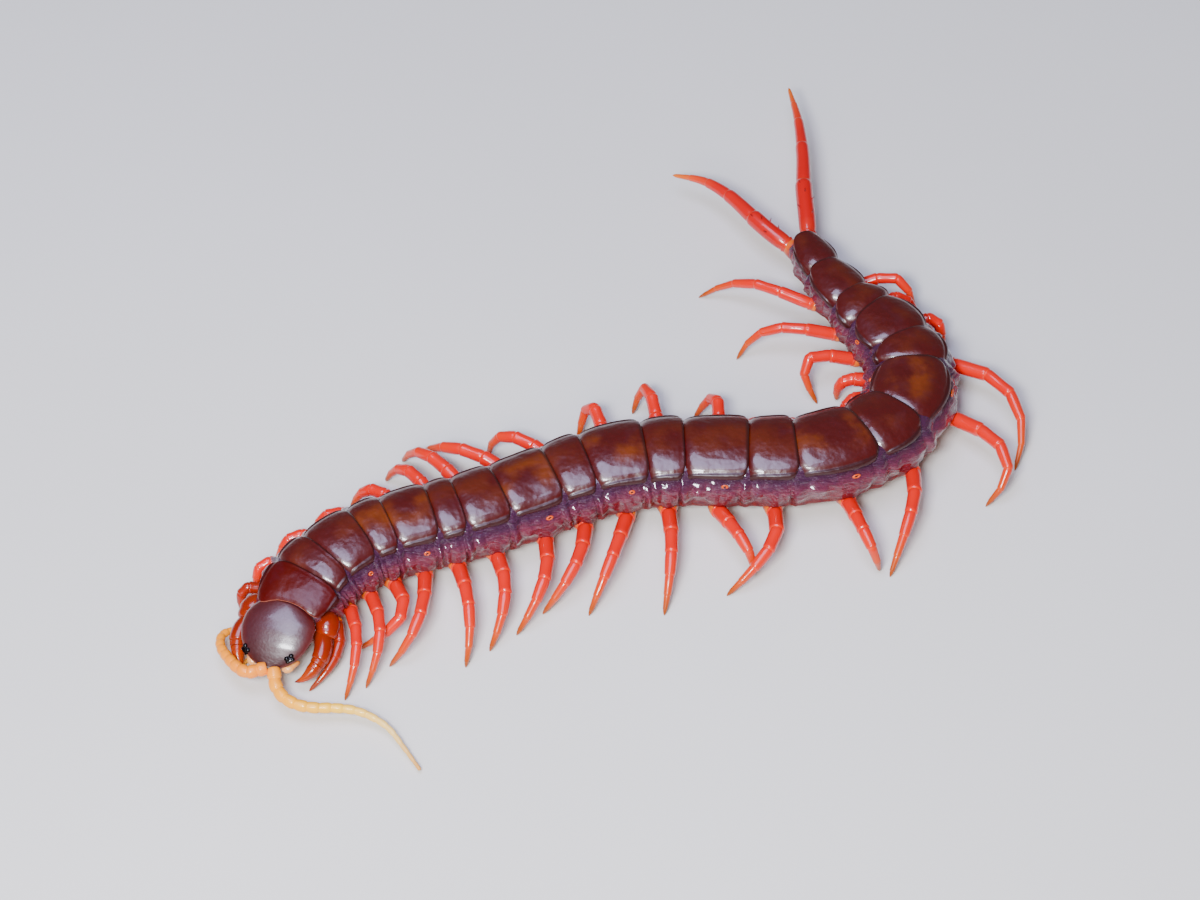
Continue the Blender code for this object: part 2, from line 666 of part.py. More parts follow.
def make_claw(side):
    """A poison claw that curves round the side of the head to its sharp tip."""
    rings = tube(claw_curve(side), CLAW_RADII, CLAW_SIDES)
    name = f"forcipule_{'left' if side > 0 else 'right'}"
    return finish(new_object(name, *loft(rings), "claw"))


def make_claw_base():
    """The broad plate below the neck with a boss on each side for a poison claw."""
    low, high = CLAW_BASE_HEIGHTS
    rings = []
    for ahead, half, top in CLAW_BASE_PLACES:
        width = CLAW_BASE_HALF * half
        height = (high - low) * top
        section = [(0.0, low), (CLAW_BASE_FLAT * width, low)]
        section += [(width, low + share * height) for share in CLAW_BASE_EDGES]
        section += [(CLAW_BASE_FLAT * width, low + height), (0.0, low + height)]
        full = section + [(-u, c) for u, c in reversed(section[1:-1])]
        rings.append([in_front(ahead, -u, c) for u, c in full])
    base = finish(new_object("forcipule_base", *loft(rings), "claw"))
    bosses = []
    for side in (1, -1):
        curve = claw_curve(side)
        along = (curve[1] - curve[0]).normalized()
        face = curve[0] - along * GAP
        root = in_front(CLAW_BOSS[0], side * CLAW_BOSS[1], CLAW_BOSS[2])
        direction = (face - root).normalized()
        small, large = CLAW_BOSS_RADII
        ends = [ring(root, direction, small, ROOT_SIDES), ring(face, along, large, ROOT_SIDES)]
        bosses.append(finish(new_object("boss", *loft(ends), "claw")))
    join(base, bosses)
    return finish(base)


def palp_curve(side):
    return smooth_line(mirrored(PALP_LINE, side))


def make_palp(side):
    """A feeler of the mouth, which curves forward below the head."""
    rings = tube(palp_curve(side), PALP_RADII, PALP_SIDES)
    name = f"palp_{'left' if side > 0 else 'right'}"
    return finish(new_object(name, *loft(rings), "palp"))


def clear_scene():
    for obj in list(bpy.data.objects):
        bpy.data.objects.remove(obj)


def build():
    clear_scene()
    make_head()
    make_claw_base()
    for side in (1, -1):
        eye = ellipsoid(f"eye_{'left' if side > 0 else 'right'}", eye_centre(side), EYE_RADII)
        finish(eye)
        make_antenna(side)
        make_claw(side)
        make_palp(side)
    for index in range(len(SEGMENTS) // SEGMENTS_PER_LENGTH):
        make_trunk_length(index)
    for side in (1, -1):
        for number in range(1, len(SEGMENTS)):
            make_leg(number, side)
        make_last_leg(side)


build()
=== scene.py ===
# %% [markdown]
# # A giant centipede at life size
#
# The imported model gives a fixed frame: plain solids at their true places. This lesson dresses
# them. Every piece is modelled straight and then bent along the same lines as its solid, so
# nothing has to be fitted by eye. Sizes are in millimetres and become metres when a mesh is made.

import math

import bmesh
import bpy
import numpy as np
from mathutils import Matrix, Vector, noise


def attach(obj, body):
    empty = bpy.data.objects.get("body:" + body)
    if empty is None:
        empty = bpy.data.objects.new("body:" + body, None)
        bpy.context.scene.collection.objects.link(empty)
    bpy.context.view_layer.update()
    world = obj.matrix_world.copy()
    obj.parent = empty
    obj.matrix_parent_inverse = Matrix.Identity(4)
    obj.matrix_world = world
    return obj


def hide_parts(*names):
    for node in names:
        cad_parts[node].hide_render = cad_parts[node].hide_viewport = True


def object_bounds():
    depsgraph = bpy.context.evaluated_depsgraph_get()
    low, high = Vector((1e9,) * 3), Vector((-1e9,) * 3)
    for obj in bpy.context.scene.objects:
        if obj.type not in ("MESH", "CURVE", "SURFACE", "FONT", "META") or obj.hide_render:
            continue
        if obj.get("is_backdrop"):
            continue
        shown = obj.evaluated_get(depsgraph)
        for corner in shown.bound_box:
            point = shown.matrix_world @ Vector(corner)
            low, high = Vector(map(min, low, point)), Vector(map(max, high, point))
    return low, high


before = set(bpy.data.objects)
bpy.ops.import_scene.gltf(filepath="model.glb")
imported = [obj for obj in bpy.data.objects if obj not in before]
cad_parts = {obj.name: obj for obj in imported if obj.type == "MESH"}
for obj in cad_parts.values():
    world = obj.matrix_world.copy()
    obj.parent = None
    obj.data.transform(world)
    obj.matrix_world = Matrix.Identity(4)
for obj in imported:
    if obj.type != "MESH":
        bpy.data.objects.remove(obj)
cad_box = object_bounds()
MM = 0.001
bpy.context.tool_settings.mesh_select_mode = (True, False, False)
print("nodes", len(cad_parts), "box", [round(c / MM, 1) for corner in cad_box for c in corner])

# %% [markdown]
# ## The body line
#
# The animal lies in a wide hook. Its back follows one line, given by the length of each of the
# 21 segments and by how far the line turns over it. A place on the line is its distance from
# the neck, so the head lies at negative places.

# %% Body sizes
SEGMENTS = [
    (6.4, -14), (3.9, -8), (7.3, -15), (4.9, -9), (7.4, -6), (4.6, 2), (7.3, 5),
    (9.3, -1), (6.2, -4), (9.9, -10), (6.6, -7), (10.7, -4), (7.8, 6), (12.1, 26),
    (8.3, 22), (11.0, 38), (6.1, 26), (8.5, 18), (5.2, -7), (8.4, -10), (7.6, -3),
]
NECK = (-55.515, -47.696)
NECK_HEADING = 69.0
HEAD_HEADING = 74.0
HEAD_LENGTH = 11.2
BACK_HEIGHT = 12.4
LEVEL_PLACE = 30.0
PITCH_AT = [
    (-4.0, 25.0), (0.0, 12.0), (12.0, 5.0), (18.0, 0.0), (46.0, 0.0), (50.0, 4.0), (60.0, 4.0),
    (64.0, 0.0), (98.0, 0.0), (102.0, -4.0), (112.0, -4.0), (116.0, -1.0), (132.0, -4.0)]
LINE_START, LINE_END, LINE_STEP = -16.0, 172.0, 0.1
WIDTH_AT = [(0, 12.6), (1, 13.6), (3, 14.0), (8, 14.5), (14, 14.5), (16, 14.0),
            (17, 13.3), (18, 12.3), (19, 10.0), (20, 8.2), (21, 6.4)]
DEPTH_AT = [(0, 7.8), (2, 9.6), (4, 10.2), (9, 10.4), (14, 10.4), (16, 10.0), (18, 9.0),
            (20, 7.8), (21, 6.6)]
PLATE_SHARE = [(0, 1.0), (1, 0.97), (3, 0.87), (8, 0.88), (10, 0.95), (15, 0.95), (18, 1.0)]
FLANK_INSET = [(0, 0.0), (17, 0.0), (18, 0.5), (19, 1.1), (21, 1.0)]
COUNT = len(SEGMENTS)
print("segments", COUNT, "of", round(sum(length for length, _ in SEGMENTS), 1), "mm together")


# %% Places on the line
def profile(pairs, place):
    """The value at a place between a few named ones."""
    return float(np.interp(place, *zip(*pairs)))


def body_line():
    """Joints, places, headings, pitches and points of the line along the middle of the back."""
    lengths, turns = zip(*SEGMENTS)
    joints = np.concatenate([[0.0], np.cumsum(lengths)])
    headings = NECK_HEADING + np.concatenate([[0.0], np.cumsum(turns)])
    places = np.arange(LINE_START, LINE_END, LINE_STEP)
    heading = np.radians(np.interp(places, [-HEAD_LENGTH / 2, *joints], [HEAD_HEADING, *headings]))
    pitch = np.radians(np.interp(places, *zip(*PITCH_AT)))
    steps = LINE_STEP * np.stack([
        np.cos(pitch) * np.cos(heading), np.cos(pitch) * np.sin(heading), np.sin(pitch)], axis=1)
    points = np.cumsum(steps, axis=0)
    neck = np.argmin(np.abs(places))
    level = np.argmin(np.abs(places - LEVEL_PLACE))
    points += np.array([*NECK, BACK_HEIGHT]) - np.array([*points[neck, :2], points[level, 2]])
    return joints, places, heading, pitch, points


JOINTS, PLACES, HEADING, PITCH, POINTS = body_line()


def frame_at(place):
    """(point on the back, forward, left, up) at a place."""
    point = Vector(np.interp(place, PLACES, POINTS[:, i]) for i in range(3))
    heading, pitch = np.interp(place, PLACES, HEADING), np.interp(place, PLACES, PITCH)
    left = Vector((math.sin(heading), -math.cos(heading), 0.0))
    forward = -Vector((
        math.cos(pitch) * math.cos(heading), math.cos(pitch) * math.sin(heading), math.sin(pitch)))
    return point, forward, left, forward.cross(left)


def segment_at(place):
    return float(np.interp(place, JOINTS, range(COUNT + 1)))


tail = frame_at(JOINTS[-1])[0]
print("body", round(JOINTS[-1], 1), "mm behind the neck, tail at", [round(c, 1) for c in tail])

# %% [markdown]
# ## Camera, floor and light
#
# The camera looks down at the animal from its left, with a long lens. A wide soft light hangs
# high in front, so that the middle of the back stays dark and only the near slopes turn milky.
# A small bright window below it makes the crisp glints. A weak warm light lights the legs, and
# doesn't show in the gloss, because it would spread a glare over the plates.

# %% Camera, floor and light
CAMERA_DISTANCE = 0.62
CAMERA_ELEVATION = 50.0
CAMERA_LENS = 109.4
LOOK_AT = Vector((NECK[0] + 50.5, NECK[1] + 40.1, 0.0)) * MM
FLOOR_SIZE = 6.0
# Each light: place, width, height, power, colour, and whether it shows in the gloss.
LIGHTS = {
    "soft_box": ((-0.10, -0.08, 0.62), 0.44, 0.32, 4.4, (0.60, 0.65, 1.0), True),
    "window": ((-0.10, -0.34, 0.40), 0.15, 0.09, 4.6, (0.92, 0.95, 1.0), True),
    "front": ((-0.10, -0.50, 0.34), 0.40, 0.16, 1.8, (1.0, 0.93, 0.84), False),
}
WORLD_COLOUR, WORLD_STRENGTH = (0.9, 0.93, 1.0, 1.0), 0.16


def add_camera():
    data = bpy.data.cameras.new("camera")
    data.lens = CAMERA_LENS
    data.clip_start = 0.01
    camera = bpy.data.objects.new("camera", data)
    elevation = math.radians(CAMERA_ELEVATION)
    away = Vector((0, -math.cos(elevation), math.sin(elevation)))
    camera.location = LOOK_AT + CAMERA_DISTANCE * away
    camera.rotation_euler = (math.pi / 2 - elevation, 0, 0)
    bpy.context.scene.collection.objects.link(camera)
    bpy.context.scene.camera = camera


def add_light(name, place, width, height, power, colour, mirrored):
    """A rectangular light that faces the animal."""
    data = bpy.data.lights.new(name, "AREA")
    data.shape = "RECTANGLE"
    data.size = width
    data.size_y = height
    data.energy = power
    data.color = colour
    light = bpy.data.objects.new(name, data)
    light.location = place
    light.visible_glossy = mirrored
    light.rotation_euler = (LOOK_AT - Vector(place)).to_track_quat("-Z", "Y").to_euler()
    bpy.context.scene.collection.objects.link(light)


add_camera()
for light_name, settings in LIGHTS.items():
    add_light(light_name, *settings)
world = bpy.data.worlds.new("studio")
world.use_nodes = True
background = world.node_tree.nodes["Background"]
background.inputs["Color"].default_value = WORLD_COLOUR
background.inputs["Strength"].default_value = WORLD_STRENGTH
bpy.context.scene.world = world
bpy.ops.mesh.primitive_plane_add(size=FLOOR_SIZE, location=(0, 0, 0))
floor = bpy.context.active_object
floor.name = "floor"
floor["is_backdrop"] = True
print("camera looks at", [round(c / MM, 1) for c in LOOK_AT])

# %% [markdown]
# ## A small language for materials
#
# A material is a network of nodes. Sums and products are easier to read as Python, so a small
# class wraps a socket, and an expression on it adds the Math nodes. Everything else comes from
# one method, which takes a node's type, its settings and its inputs. Colours are written as a
# screen shows them, from 0 to 255.


# %% Sockets as numbers
class Value:
    """A socket that can be used in a sum."""

    def __init__(self, finish, socket):
        self.finish = finish
        self.socket = socket

    def __add__(self, other):
        return self.finish.math("ADD", self, other)

    def __sub__(self, other):
        return self.finish.math("SUBTRACT", self, other)

    def __rsub__(self, other):
        return self.finish.math("SUBTRACT", other, self)

    def __mul__(self, other):
        return self.finish.math("MULTIPLY", self, other)

    __radd__ = __add__
    __rmul__ = __mul__


print("sockets can be added, subtracted and multiplied")

# %% Material language
MAP_NAME = "marks"


def screen(colour):
    """A shader's colour from the values that a screen shows, 0 to 255."""
    return (*((c / 255) ** 2.2 for c in colour), 1.0)


class Finish:
    """One material and the few ways of adding to it."""

    def __init__(self, name, **constants):
        self.material = bpy.data.materials.new(name)
        self.material.use_nodes = True
        self.nodes = self.material.node_tree.nodes
        self.links = self.material.node_tree.links
        self.surface = self.nodes["Principled BSDF"]
        for socket, value in constants.items():
            self.surface.inputs[socket.replace("_", " ")].default_value = value

    def node(self, kind, settings, inputs, output=0):
        """Adds a node of a type with its settings and inputs, and returns one output."""
        made = self.nodes.new(kind)
        for name, value in settings.items():
            if name == "stops":
                self.set_stops(made.color_ramp, value)
            else:
                setattr(made, name, value)
        for key, value in inputs.items():
            if isinstance(value, Value):
                self.links.new(value.socket, made.inputs[key])
            else:
                made.inputs[key].default_value = value
        return Value(self, made.outputs[output])

    @staticmethod
    def set_stops(ramp, stops):
        while len(ramp.elements) < len(stops):
            ramp.elements.new(1.0)
        for element, (place, colour) in zip(ramp.elements, stops):
            element.position = place
            element.color = screen(colour)

    def math(self, operation, first, second):
        return self.node("ShaderNodeMath", {"operation": operation}, {0: first, 1: second})

    def step(self, value, low, high):
        """0 below low, 1 above high, smooth between."""
        return self.node("ShaderNodeMapRange", {"interpolation_type": "SMOOTHSTEP"},
                         {0: value, 1: low, 2: high, 3: 0.0, 4: 1.0})

    def mix(self, share, first, second):
        colours = [c if isinstance(c, Value) else screen(c) for c in (first, second)]
        return self.node("ShaderNodeMix", {"data_type": "RGBA"},
                         {0: share, 6: colours[0], 7: colours[1]}, 2)

    def ramp(self, value, stops):
        return self.node("ShaderNodeValToRGB", {"stops": stops}, {0: value})

    def place(self):
        """Object coordinates, in metres."""
        return self.node("ShaderNodeTexCoord", {}, {}, 3)

    def marks(self):
        """(share along, share across) of the piece's own map."""
        uv = self.node("ShaderNodeUVMap", {"uv_map": MAP_NAME}, {})
        split = self.node("ShaderNodeSeparateXYZ", {}, {0: uv})
        return split, Value(self, split.socket.node.outputs[1])

    def noise(self, scale, detail=3.0, stretch=None):
        """Soft spots, with scale spots per metre."""
        where = self.place()
        if stretch:
            where = self.node("ShaderNodeMapping", {}, {0: where, 3: stretch})
        return self.node("ShaderNodeTexNoise", {},
                         {"Vector": where, "Scale": scale, "Detail": detail})

    def connect_surface(self, colour=None, roughness=None, relief=None, strength=0.2, depth=0.0001):
        """Connects what changes over the surface: colour, with its painted shade and sheen where
        there is any, roughness and relief.
        """
        if colour is not None:
            self.links.new(colour.socket, self.surface.inputs["Base Color"])
        if roughness is not None:
            self.links.new(roughness.socket, self.surface.inputs["Roughness"])
        if relief is not None:
            bump = self.node("ShaderNodeBump", {},
                             {"Strength": strength, "Distance": depth, "Height": relief})
            self.links.new(bump.socket, self.surface.inputs["Normal"])
        return self.material


print("material language ready")

# %% [markdown]
# ## Floor finish
#
# A plain pale floor, with a very faint mottle so that it reads as a surface.

# %% Floor finish
paper = Finish("pale_floor", Roughness=0.75)
tone = paper.mix(paper.noise(9.0, 4.0), (206, 202, 196), (216, 213, 208))
floor.data.materials.append(paper.connect_surface(tone, relief=paper.noise(900.0), strength=0.05))
print("floor finish", paper.material.name)

# %% [markdown]
# ## Cuticle finishes
#
# The back plates are a lacquered maroon that turns amber where the light shines through, darker
# along their rims, partly their own darker margins and partly painted shade, and streaked with
# painted purple sheen. The soft side is mauve and wet, with painted violet shade under the
# plates. Legs run from yellow joints through coral red to orange tips. Each finish reads its
# piece's own map: share along and share across.

# %% Plate finish
MAROON = (68, 9, 4)
# Deep maroon: the plates' darker margins, and painted shade on their steep rims and under the plate
# before.
DEEP_MARGIN_AND_SHADE = (38, 7, 8)
AMBER = (106, 47, 6)
# Plum: the colour of painted purple sheen on the plates.
PLUM_SHEEN = (70, 28, 38)
WINE = (70, 10, 6)
PALE_RIM = (150, 84, 66)


def plate_finish(name, ground, amber, front_rim_and_shade=DEEP_MARGIN_AND_SHADE, front_share=0.05, coat=0.55, gloss=0.6):
    """Back plates: amber is how strongly the middle glows where light shines through."""
    lacquer = Finish(name, Coat_Weight=coat, Coat_Roughness=0.05, Subsurface_Weight=0.03,
                     Subsurface_Scale=0.001, Specular_IOR_Level=gloss)
    along, across = lacquer.marks()
    side = lacquer.math("ABSOLUTE", across, 0.0)
    cloud = lacquer.noise(170.0, 3.0)
    sheen_streak = lacquer.noise(420.0, 3.0, (1.0, 1.0, 0.3))
    glow = lacquer.step(cloud, 0.4, 0.66) * (1.0 - lacquer.step(side, 0.25, 0.75)) * amber
    colour = lacquer.mix(glow, ground, AMBER)
    # Stretched plum streaks are painted purple sheen.
    colour = lacquer.mix(lacquer.step(sheen_streak, 0.5, 0.75) * 0.3, colour, PLUM_SHEEN)
    # Side rims and rear edge turn deep maroon: partly the plate's own darker margin, partly painted
    # shade where the steep rim turns from the light.
    rim = lacquer.step(side, 0.87, 0.92)
    rear = lacquer.step(along, 0.93, 0.98)
    colour = lacquer.mix(lacquer.math("MAXIMUM", rim, rear) * 0.7, colour, DEEP_MARGIN_AND_SHADE)
    # The front edge lies under the plate before and gets painted shade; on the first plate it is a
    # pale rim.
    front = 1.0 - lacquer.step(along, front_share * 0.4, front_share)
    colour = lacquer.mix(front * 0.9, colour, front_rim_and_shade)
    lacquer.links.new(((1.0 - rim * 0.9) * coat).socket, lacquer.surface.inputs["Coat Weight"])
    rough = lacquer.noise(1500.0, 4.0) * 0.14 + 0.25 + rim * 0.08
    relief = (lacquer.noise(2600.0, 3.0) * 0.08 + lacquer.noise(330.0, 2.0)
              + lacquer.noise(700.0, 1.0) * 0.1)
    return lacquer.connect_surface(colour, rough, relief, 0.6, 0.0005)


plates = {
    "dark": plate_finish("maroon_plate", MAROON, 0.3),
    "warm": plate_finish("amber_plate", MAROON, 0.85),
    "neck": plate_finish("wine_neck_plate", WINE, 0.1, PALE_RIM, 0.022, 0.15, 0.25),
}
print("plate finishes", list(plates))

# %% Skin finish
MAUVE = (106, 42, 58)
# Violet: painted shade on the soft side.
VIOLET_SHADE = (64, 30, 54)
FLESH = (108, 20, 22)
BELLY = (122, 28, 14)


def skin_finish():
    """The soft side and belly: mauve and rippled with painted violet shade above, pinker beside the
    legs, orange below.
    """
    wet = Finish("wet_skin", Coat_Weight=1.0, Coat_Roughness=0.09, Subsurface_Weight=0.04,
                 Subsurface_Scale=0.001, Specular_IOR_Level=0.25)
    along, around = wet.marks()
    cloud = wet.noise(300.0, 4.0)
    # The ramp starts violet just under the plates: painted shade below their overhang.
    colour = wet.ramp(around + (cloud - 0.5) * 0.16, [
        (0.28, VIOLET_SHADE), (0.42, MAUVE), (0.6, (104, 32, 40)), (0.74, FLESH), (0.9, BELLY)])
    # This noise paints small violet blotches of shade among the folds, and also sets roughness and
    # relief.
    fold_relief_and_shade = wet.noise(1300.0, 4.0)
    colour = wet.mix(wet.step(fold_relief_and_shade, 0.45, 0.8) * 0.6, colour, VIOLET_SHADE)
    where = wet.node("ShaderNodeCombineXYZ", {}, {
        0: along * 70.0 + around * 6.0, 1: around * 34.0 - along * 110.0})
    ripple = wet.node("ShaderNodeTexNoise", {}, {"Vector": where, "Scale": 1.0, "Detail": 3.0})
    rough = fold_relief_and_shade * 0.2 + 0.2 + wet.step(around, 0.6, 0.8) * 0.25
    shine = 1.0 - wet.step(around, 0.55, 0.75) * 0.85
    wet.links.new(shine.socket, wet.surface.inputs["Coat Weight"])
    return wet.connect_surface(colour, rough, ripple + fold_relief_and_shade * 0.25, 1.0, 0.0007)


skin_material = skin_finish()
print("skin finish", skin_material.name)

# %% Limb colours
CORAL = (206, 24, 7)
SCARLET = (176, 10, 12)
TANGERINE = (216, 74, 10)
HONEY = (206, 104, 24)
CREAM = (238, 196, 112)
CHESTNUT = (120, 30, 4)
MAHOGANY = (104, 26, 8)
TAR = (34, 10, 6)


print("limb colours ready")


# %% Limb finish
def limb_finish(name, stops, bands=(), band_colour=TANGERINE, roughness=0.24, glow=0.05, coat=0.55):
    """A limb whose colour runs along it, with a thin pale ring at each joint."""
    limb = Finish(name, Coat_Weight=coat, Coat_Roughness=0.07, Subsurface_Weight=glow,
                  Subsurface_Scale=0.001, Specular_IOR_Level=0.3)
    limb.surface.inputs["Subsurface Radius"].default_value = (1.0, 0.3, 0.12)
    along, _ = limb.marks()
    cloud = limb.noise(500.0, 3.0)
    colour = limb.ramp(along + (cloud - 0.5) * 0.06, stops)
    for middle, half in bands:
        off = limb.math("ABSOLUTE", along - middle, 0.0)
        colour = limb.mix((1.0 - limb.step(off, half * 0.3, half)) * 0.4, colour, band_colour)
    grain = limb.noise(2200.0, 3.0)
    return limb.connect_surface(colour, grain * 0.14 + roughness, grain, 0.12, 0.00006)


# %% Leg, antenna and claw finishes
LEG_RINGS = (0.29, 0.49, 0.68)
leg_material = limb_finish("coral_leg", [
    (0.0, (190, 80, 24)), (0.05, (208, 40, 18)), (0.1, CORAL), (0.5, CORAL),
    (0.68, (204, 42, 4)), (0.84, (190, 66, 4)), (0.97, (146, 66, 8))],
    [(joint, 0.005) for joint in LEG_RINGS])
first_leg_material = limb_finish("rust_leg", [
    (0.0, CHESTNUT), (0.5, (146, 34, 8)), (1.0, (132, 52, 16))])
last_leg_material = limb_finish("scarlet_last_leg", [
    (0.0, (190, 40, 20)), (0.1, SCARLET), (0.66, (190, 18, 16)),
    (0.85, (206, 60, 24)), (0.98, HONEY)], [(0.32, 0.004), (0.57, 0.004), (0.75, 0.003)])
base_material = limb_finish("mauve_leg_base", [
    (0.0, (104, 46, 66)), (0.5, (128, 48, 54)), (0.78, (150, 52, 44)),
    (0.9, (186, 78, 30)), (1.0, (206, 96, 26))], glow=0.1)
antenna_material = limb_finish("peach_antenna", [
    (0.0, (244, 140, 0)), (0.2, (246, 160, 2)), (0.45, (246, 188, 50)),
    (0.75, CREAM), (1.0, (210, 146, 70))], roughness=0.36, glow=0.02, coat=0.3)
loop_material = limb_finish("orange_antenna", [
    (0.0, (238, 128, 0)), (0.7, (240, 146, 2)), (1.0, (236, 158, 30))],
    roughness=0.36, glow=0.02, coat=0.3)
claw_material = limb_finish("chestnut_claw", [
    (0.0, (126, 40, 8)), (0.35, CHESTNUT), (0.62, (140, 44, 6)),
    (0.88, (156, 56, 8)), (0.96, MAHOGANY), (1.0, TAR)],
    [(0.57, 0.012)], (90, 24, 8), 0.15, 0.1)
palp_material = limb_finish("cream_palp", [
    (0.0, (184, 80, 30)), (0.6, (226, 156, 84)), (1.0, (190, 108, 46))])
spine_material = limb_finish("dark_spine", [
    (0.0, SCARLET), (0.6, (130, 20, 14)), (1.0, (70, 16, 10))])
print("limb finishes ready")

# %% Small finishes
rim_material = limb_finish("orange_rim", [(0.0, (214, 80, 16)), (1.0, (190, 66, 14))])
bead = Finish("black_bead", Roughness=0.16, Specular_IOR_Level=0.25)
bead_material = bead.connect_surface(bead.mix(bead.noise(1500.0), (8, 5, 6), (20, 10, 12)))
# Painted shade for the inside of the breathing holes.
pit = Finish("dark_pit", Roughness=0.6)
hole_shade_material = pit.connect_surface(pit.mix(pit.noise(2500.0), (30, 12, 10), (60, 26, 18)))
belly = Finish("belly_plate", Roughness=0.25, Coat_Weight=0.6, Coat_Roughness=0.1)
belly_material = belly.connect_surface(belly.mix(belly.noise(260.0), (150, 62, 34), (196, 96, 50)))
print("small finishes ready")


# %% Head finish
def head_finish():
    """The head shield: maroon, greyer and more purple on its crown, partly as painted sheen, warm
    at its front edge.
    """
    lacquer = Finish("head_lacquer", Coat_Weight=0.85, Coat_Roughness=0.17, Subsurface_Weight=0.04,
                     Subsurface_Scale=0.001, Specular_IOR_Level=0.6)
    along, across = lacquer.marks()
    side = lacquer.math("ABSOLUTE", across, 0.0)
    cloud = lacquer.noise(230.0, 4.0)
    # The purple stops over the crown are partly the shield's own colour and partly painted sheen.
    colour = lacquer.ramp(along + (cloud - 0.5) * 0.3, [
        (0.0, (66, 9, 7)), (0.25, (64, 9, 16)),
        (0.6, (60, 11, 22)), (1.0, (54, 8, 8))])
    colour = lacquer.mix(lacquer.step(side, 0.72, 0.98) * 0.7, colour, (84, 16, 5))
    rough = lacquer.noise(1500.0, 4.0) * 0.16 + 0.36
    relief = lacquer.noise(2400.0, 3.0) + lacquer.noise(300.0, 2.0)
    return lacquer.connect_surface(colour, rough, relief, 0.4, 0.0001)


head_material = head_finish()
print("head finish", head_material.name)


# %% Selection and edit helpers
def only(piece):
    """Selects one object and makes it active."""
    bpy.ops.object.select_all(action="DESELECT")
    piece.select_set(True)
    bpy.context.view_layer.objects.active = piece


def start(name):
    """Names the primitive that was just added, moves its place into its mesh and edits it."""
    piece = bpy.context.active_object
    piece.name = name
    only(piece)
    bpy.ops.object.transform_apply(location=True, rotation=True, scale=True)
    bpy.ops.object.mode_set(mode="EDIT")
    bpy.ops.mesh.select_all(action="SELECT")
    return piece


def pick(test):
    """Selects the points of the edited mesh whose place in millimetres passes a test."""
    mesh = bpy.context.edit_object.data
    bpy.ops.mesh.select_all(action="DESELECT")
    shape = bmesh.from_edit_mesh(mesh)
    for vert in shape.verts:
        vert.select = bool(test(vert.co / MM))
    shape.select_flush_mode()
    bmesh.update_edit_mesh(mesh)


def scale(x, y, z, centre=(0, 0, 0)):
    bpy.ops.transform.resize(value=(x, y, z), center_override=tuple(c * MM for c in centre))


def move(x, y, z):
    bpy.ops.transform.translate(value=(x * MM, y * MM, z * MM))


def extrude(x, z):
    bpy.ops.mesh.extrude_region_move(TRANSFORM_OT_translate={"value": (x * MM, 0, z * MM)})


def done():
    bpy.ops.object.mode_set(mode="OBJECT")
    return bpy.context.active_object


print("edit helpers ready")


# %% Finishing helpers
def apply(piece, kind, **settings):
    """Adds a modifier, sets it and applies it."""
    only(piece)
    modifier = piece.modifiers.new(kind.lower(), kind)
    for name, value in settings.items():
        setattr(modifier, name, value)
    bpy.ops.object.modifier_apply(modifier=modifier.name)


def smooth(piece, angle=40.0):
    only(piece)
    bpy.ops.object.shade_smooth_by_angle(angle=math.radians(angle))


def right_way_out(piece):
    """Merges doubled points and turns every face outwards."""
    only(piece)
    bpy.ops.object.mode_set(mode="EDIT")
    bpy.ops.mesh.select_all(action="SELECT")
    bpy.ops.mesh.remove_doubles(threshold=0.000001)
    bpy.ops.mesh.normals_make_consistent(inside=False)
    bpy.ops.object.mode_set(mode="OBJECT")


def joined(name, pieces):
    """Joins pieces into one object."""
    only(pieces[0])
    for piece in pieces:
        piece.select_set(True)
    bpy.ops.object.join()
    pieces[0].name = name
    return pieces[0]


def keep(piece, name, material, slot, nodes=()):
    """Finishes a piece: its name, finish, ride and the solids it stands for. The slot is not used.
    """
    piece.name = name
    piece.data.name = name
    if not piece.data.materials:
        piece.data.materials.append(material)
    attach(piece, "root")
    if nodes:
        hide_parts(*nodes)
    return piece


print("finishing helpers ready")

# %% [markdown]
# ## Bending along a line
#
# A Curve modifier bends a straight piece: its X becomes the way along the curve, and its Z stays
# upright because the curve's twist is set to Z up. So plates, legs and antennae are all modelled
# straight along X and then bent. On the body the curve runs from head to tail, so the animal's
# left is the straight piece's -Y.


# %% Bend helper
def make_line(points):
    """A curve through points in millimetres, to bend pieces along."""
    data = bpy.data.curves.new("line", "CURVE")
    data.dimensions = "3D"
    data.twist_mode = "Z_UP"
    data.use_deform_bounds = False
    spline = data.splines.new("POLY")
    spline.points.add(len(points) - 1)
    for target, point in zip(spline.points, points):
        target.co = (*(c * MM for c in point), 1.0)
    line = bpy.data.objects.new("line", data)
    bpy.context.scene.collection.objects.link(line)
    return line


def bend(piece, line, shift=0.0):
    """Moves a straight piece along X by shift and bends it along a line."""
    for vert in piece.data.vertices:
        vert.co.x += shift * MM
    apply(piece, "CURVE", object=line, deform_axis="POS_X")


LINE_POINT_EVERY = 4
back_line = make_line([tuple(p) for p in POINTS[::LINE_POINT_EVERY]])


def bend_to_body(piece, place):
    """Bends a piece whose X = 0 belongs at a place on the body line."""
    bend(piece, back_line, place - LINE_START)


# %% Shape, copy and map helpers
def shape(piece, rule):
    """Moves every point of a piece by a rule on its place in millimetres."""
    for vert in piece.data.vertices:
        vert.co = Vector(rule(vert.co / MM)) * MM


def mark(piece, rule):
    """Writes the piece's map while it is straight: (share along, share across) by a rule."""
    while piece.data.uv_layers:
        piece.data.uv_layers.remove(piece.data.uv_layers[0])
    layer = piece.data.uv_layers.new(name=MAP_NAME)
    for loop in piece.data.loops:
        layer.data[loop.index].uv = rule(piece.data.vertices[loop.vertex_index].co / MM)


def copy_of(template, name):
    """A copy with its own mesh."""
    piece = bpy.data.objects.new(name, template.data.copy())
    bpy.context.scene.collection.objects.link(piece)
    return piece


print("shape helpers ready")


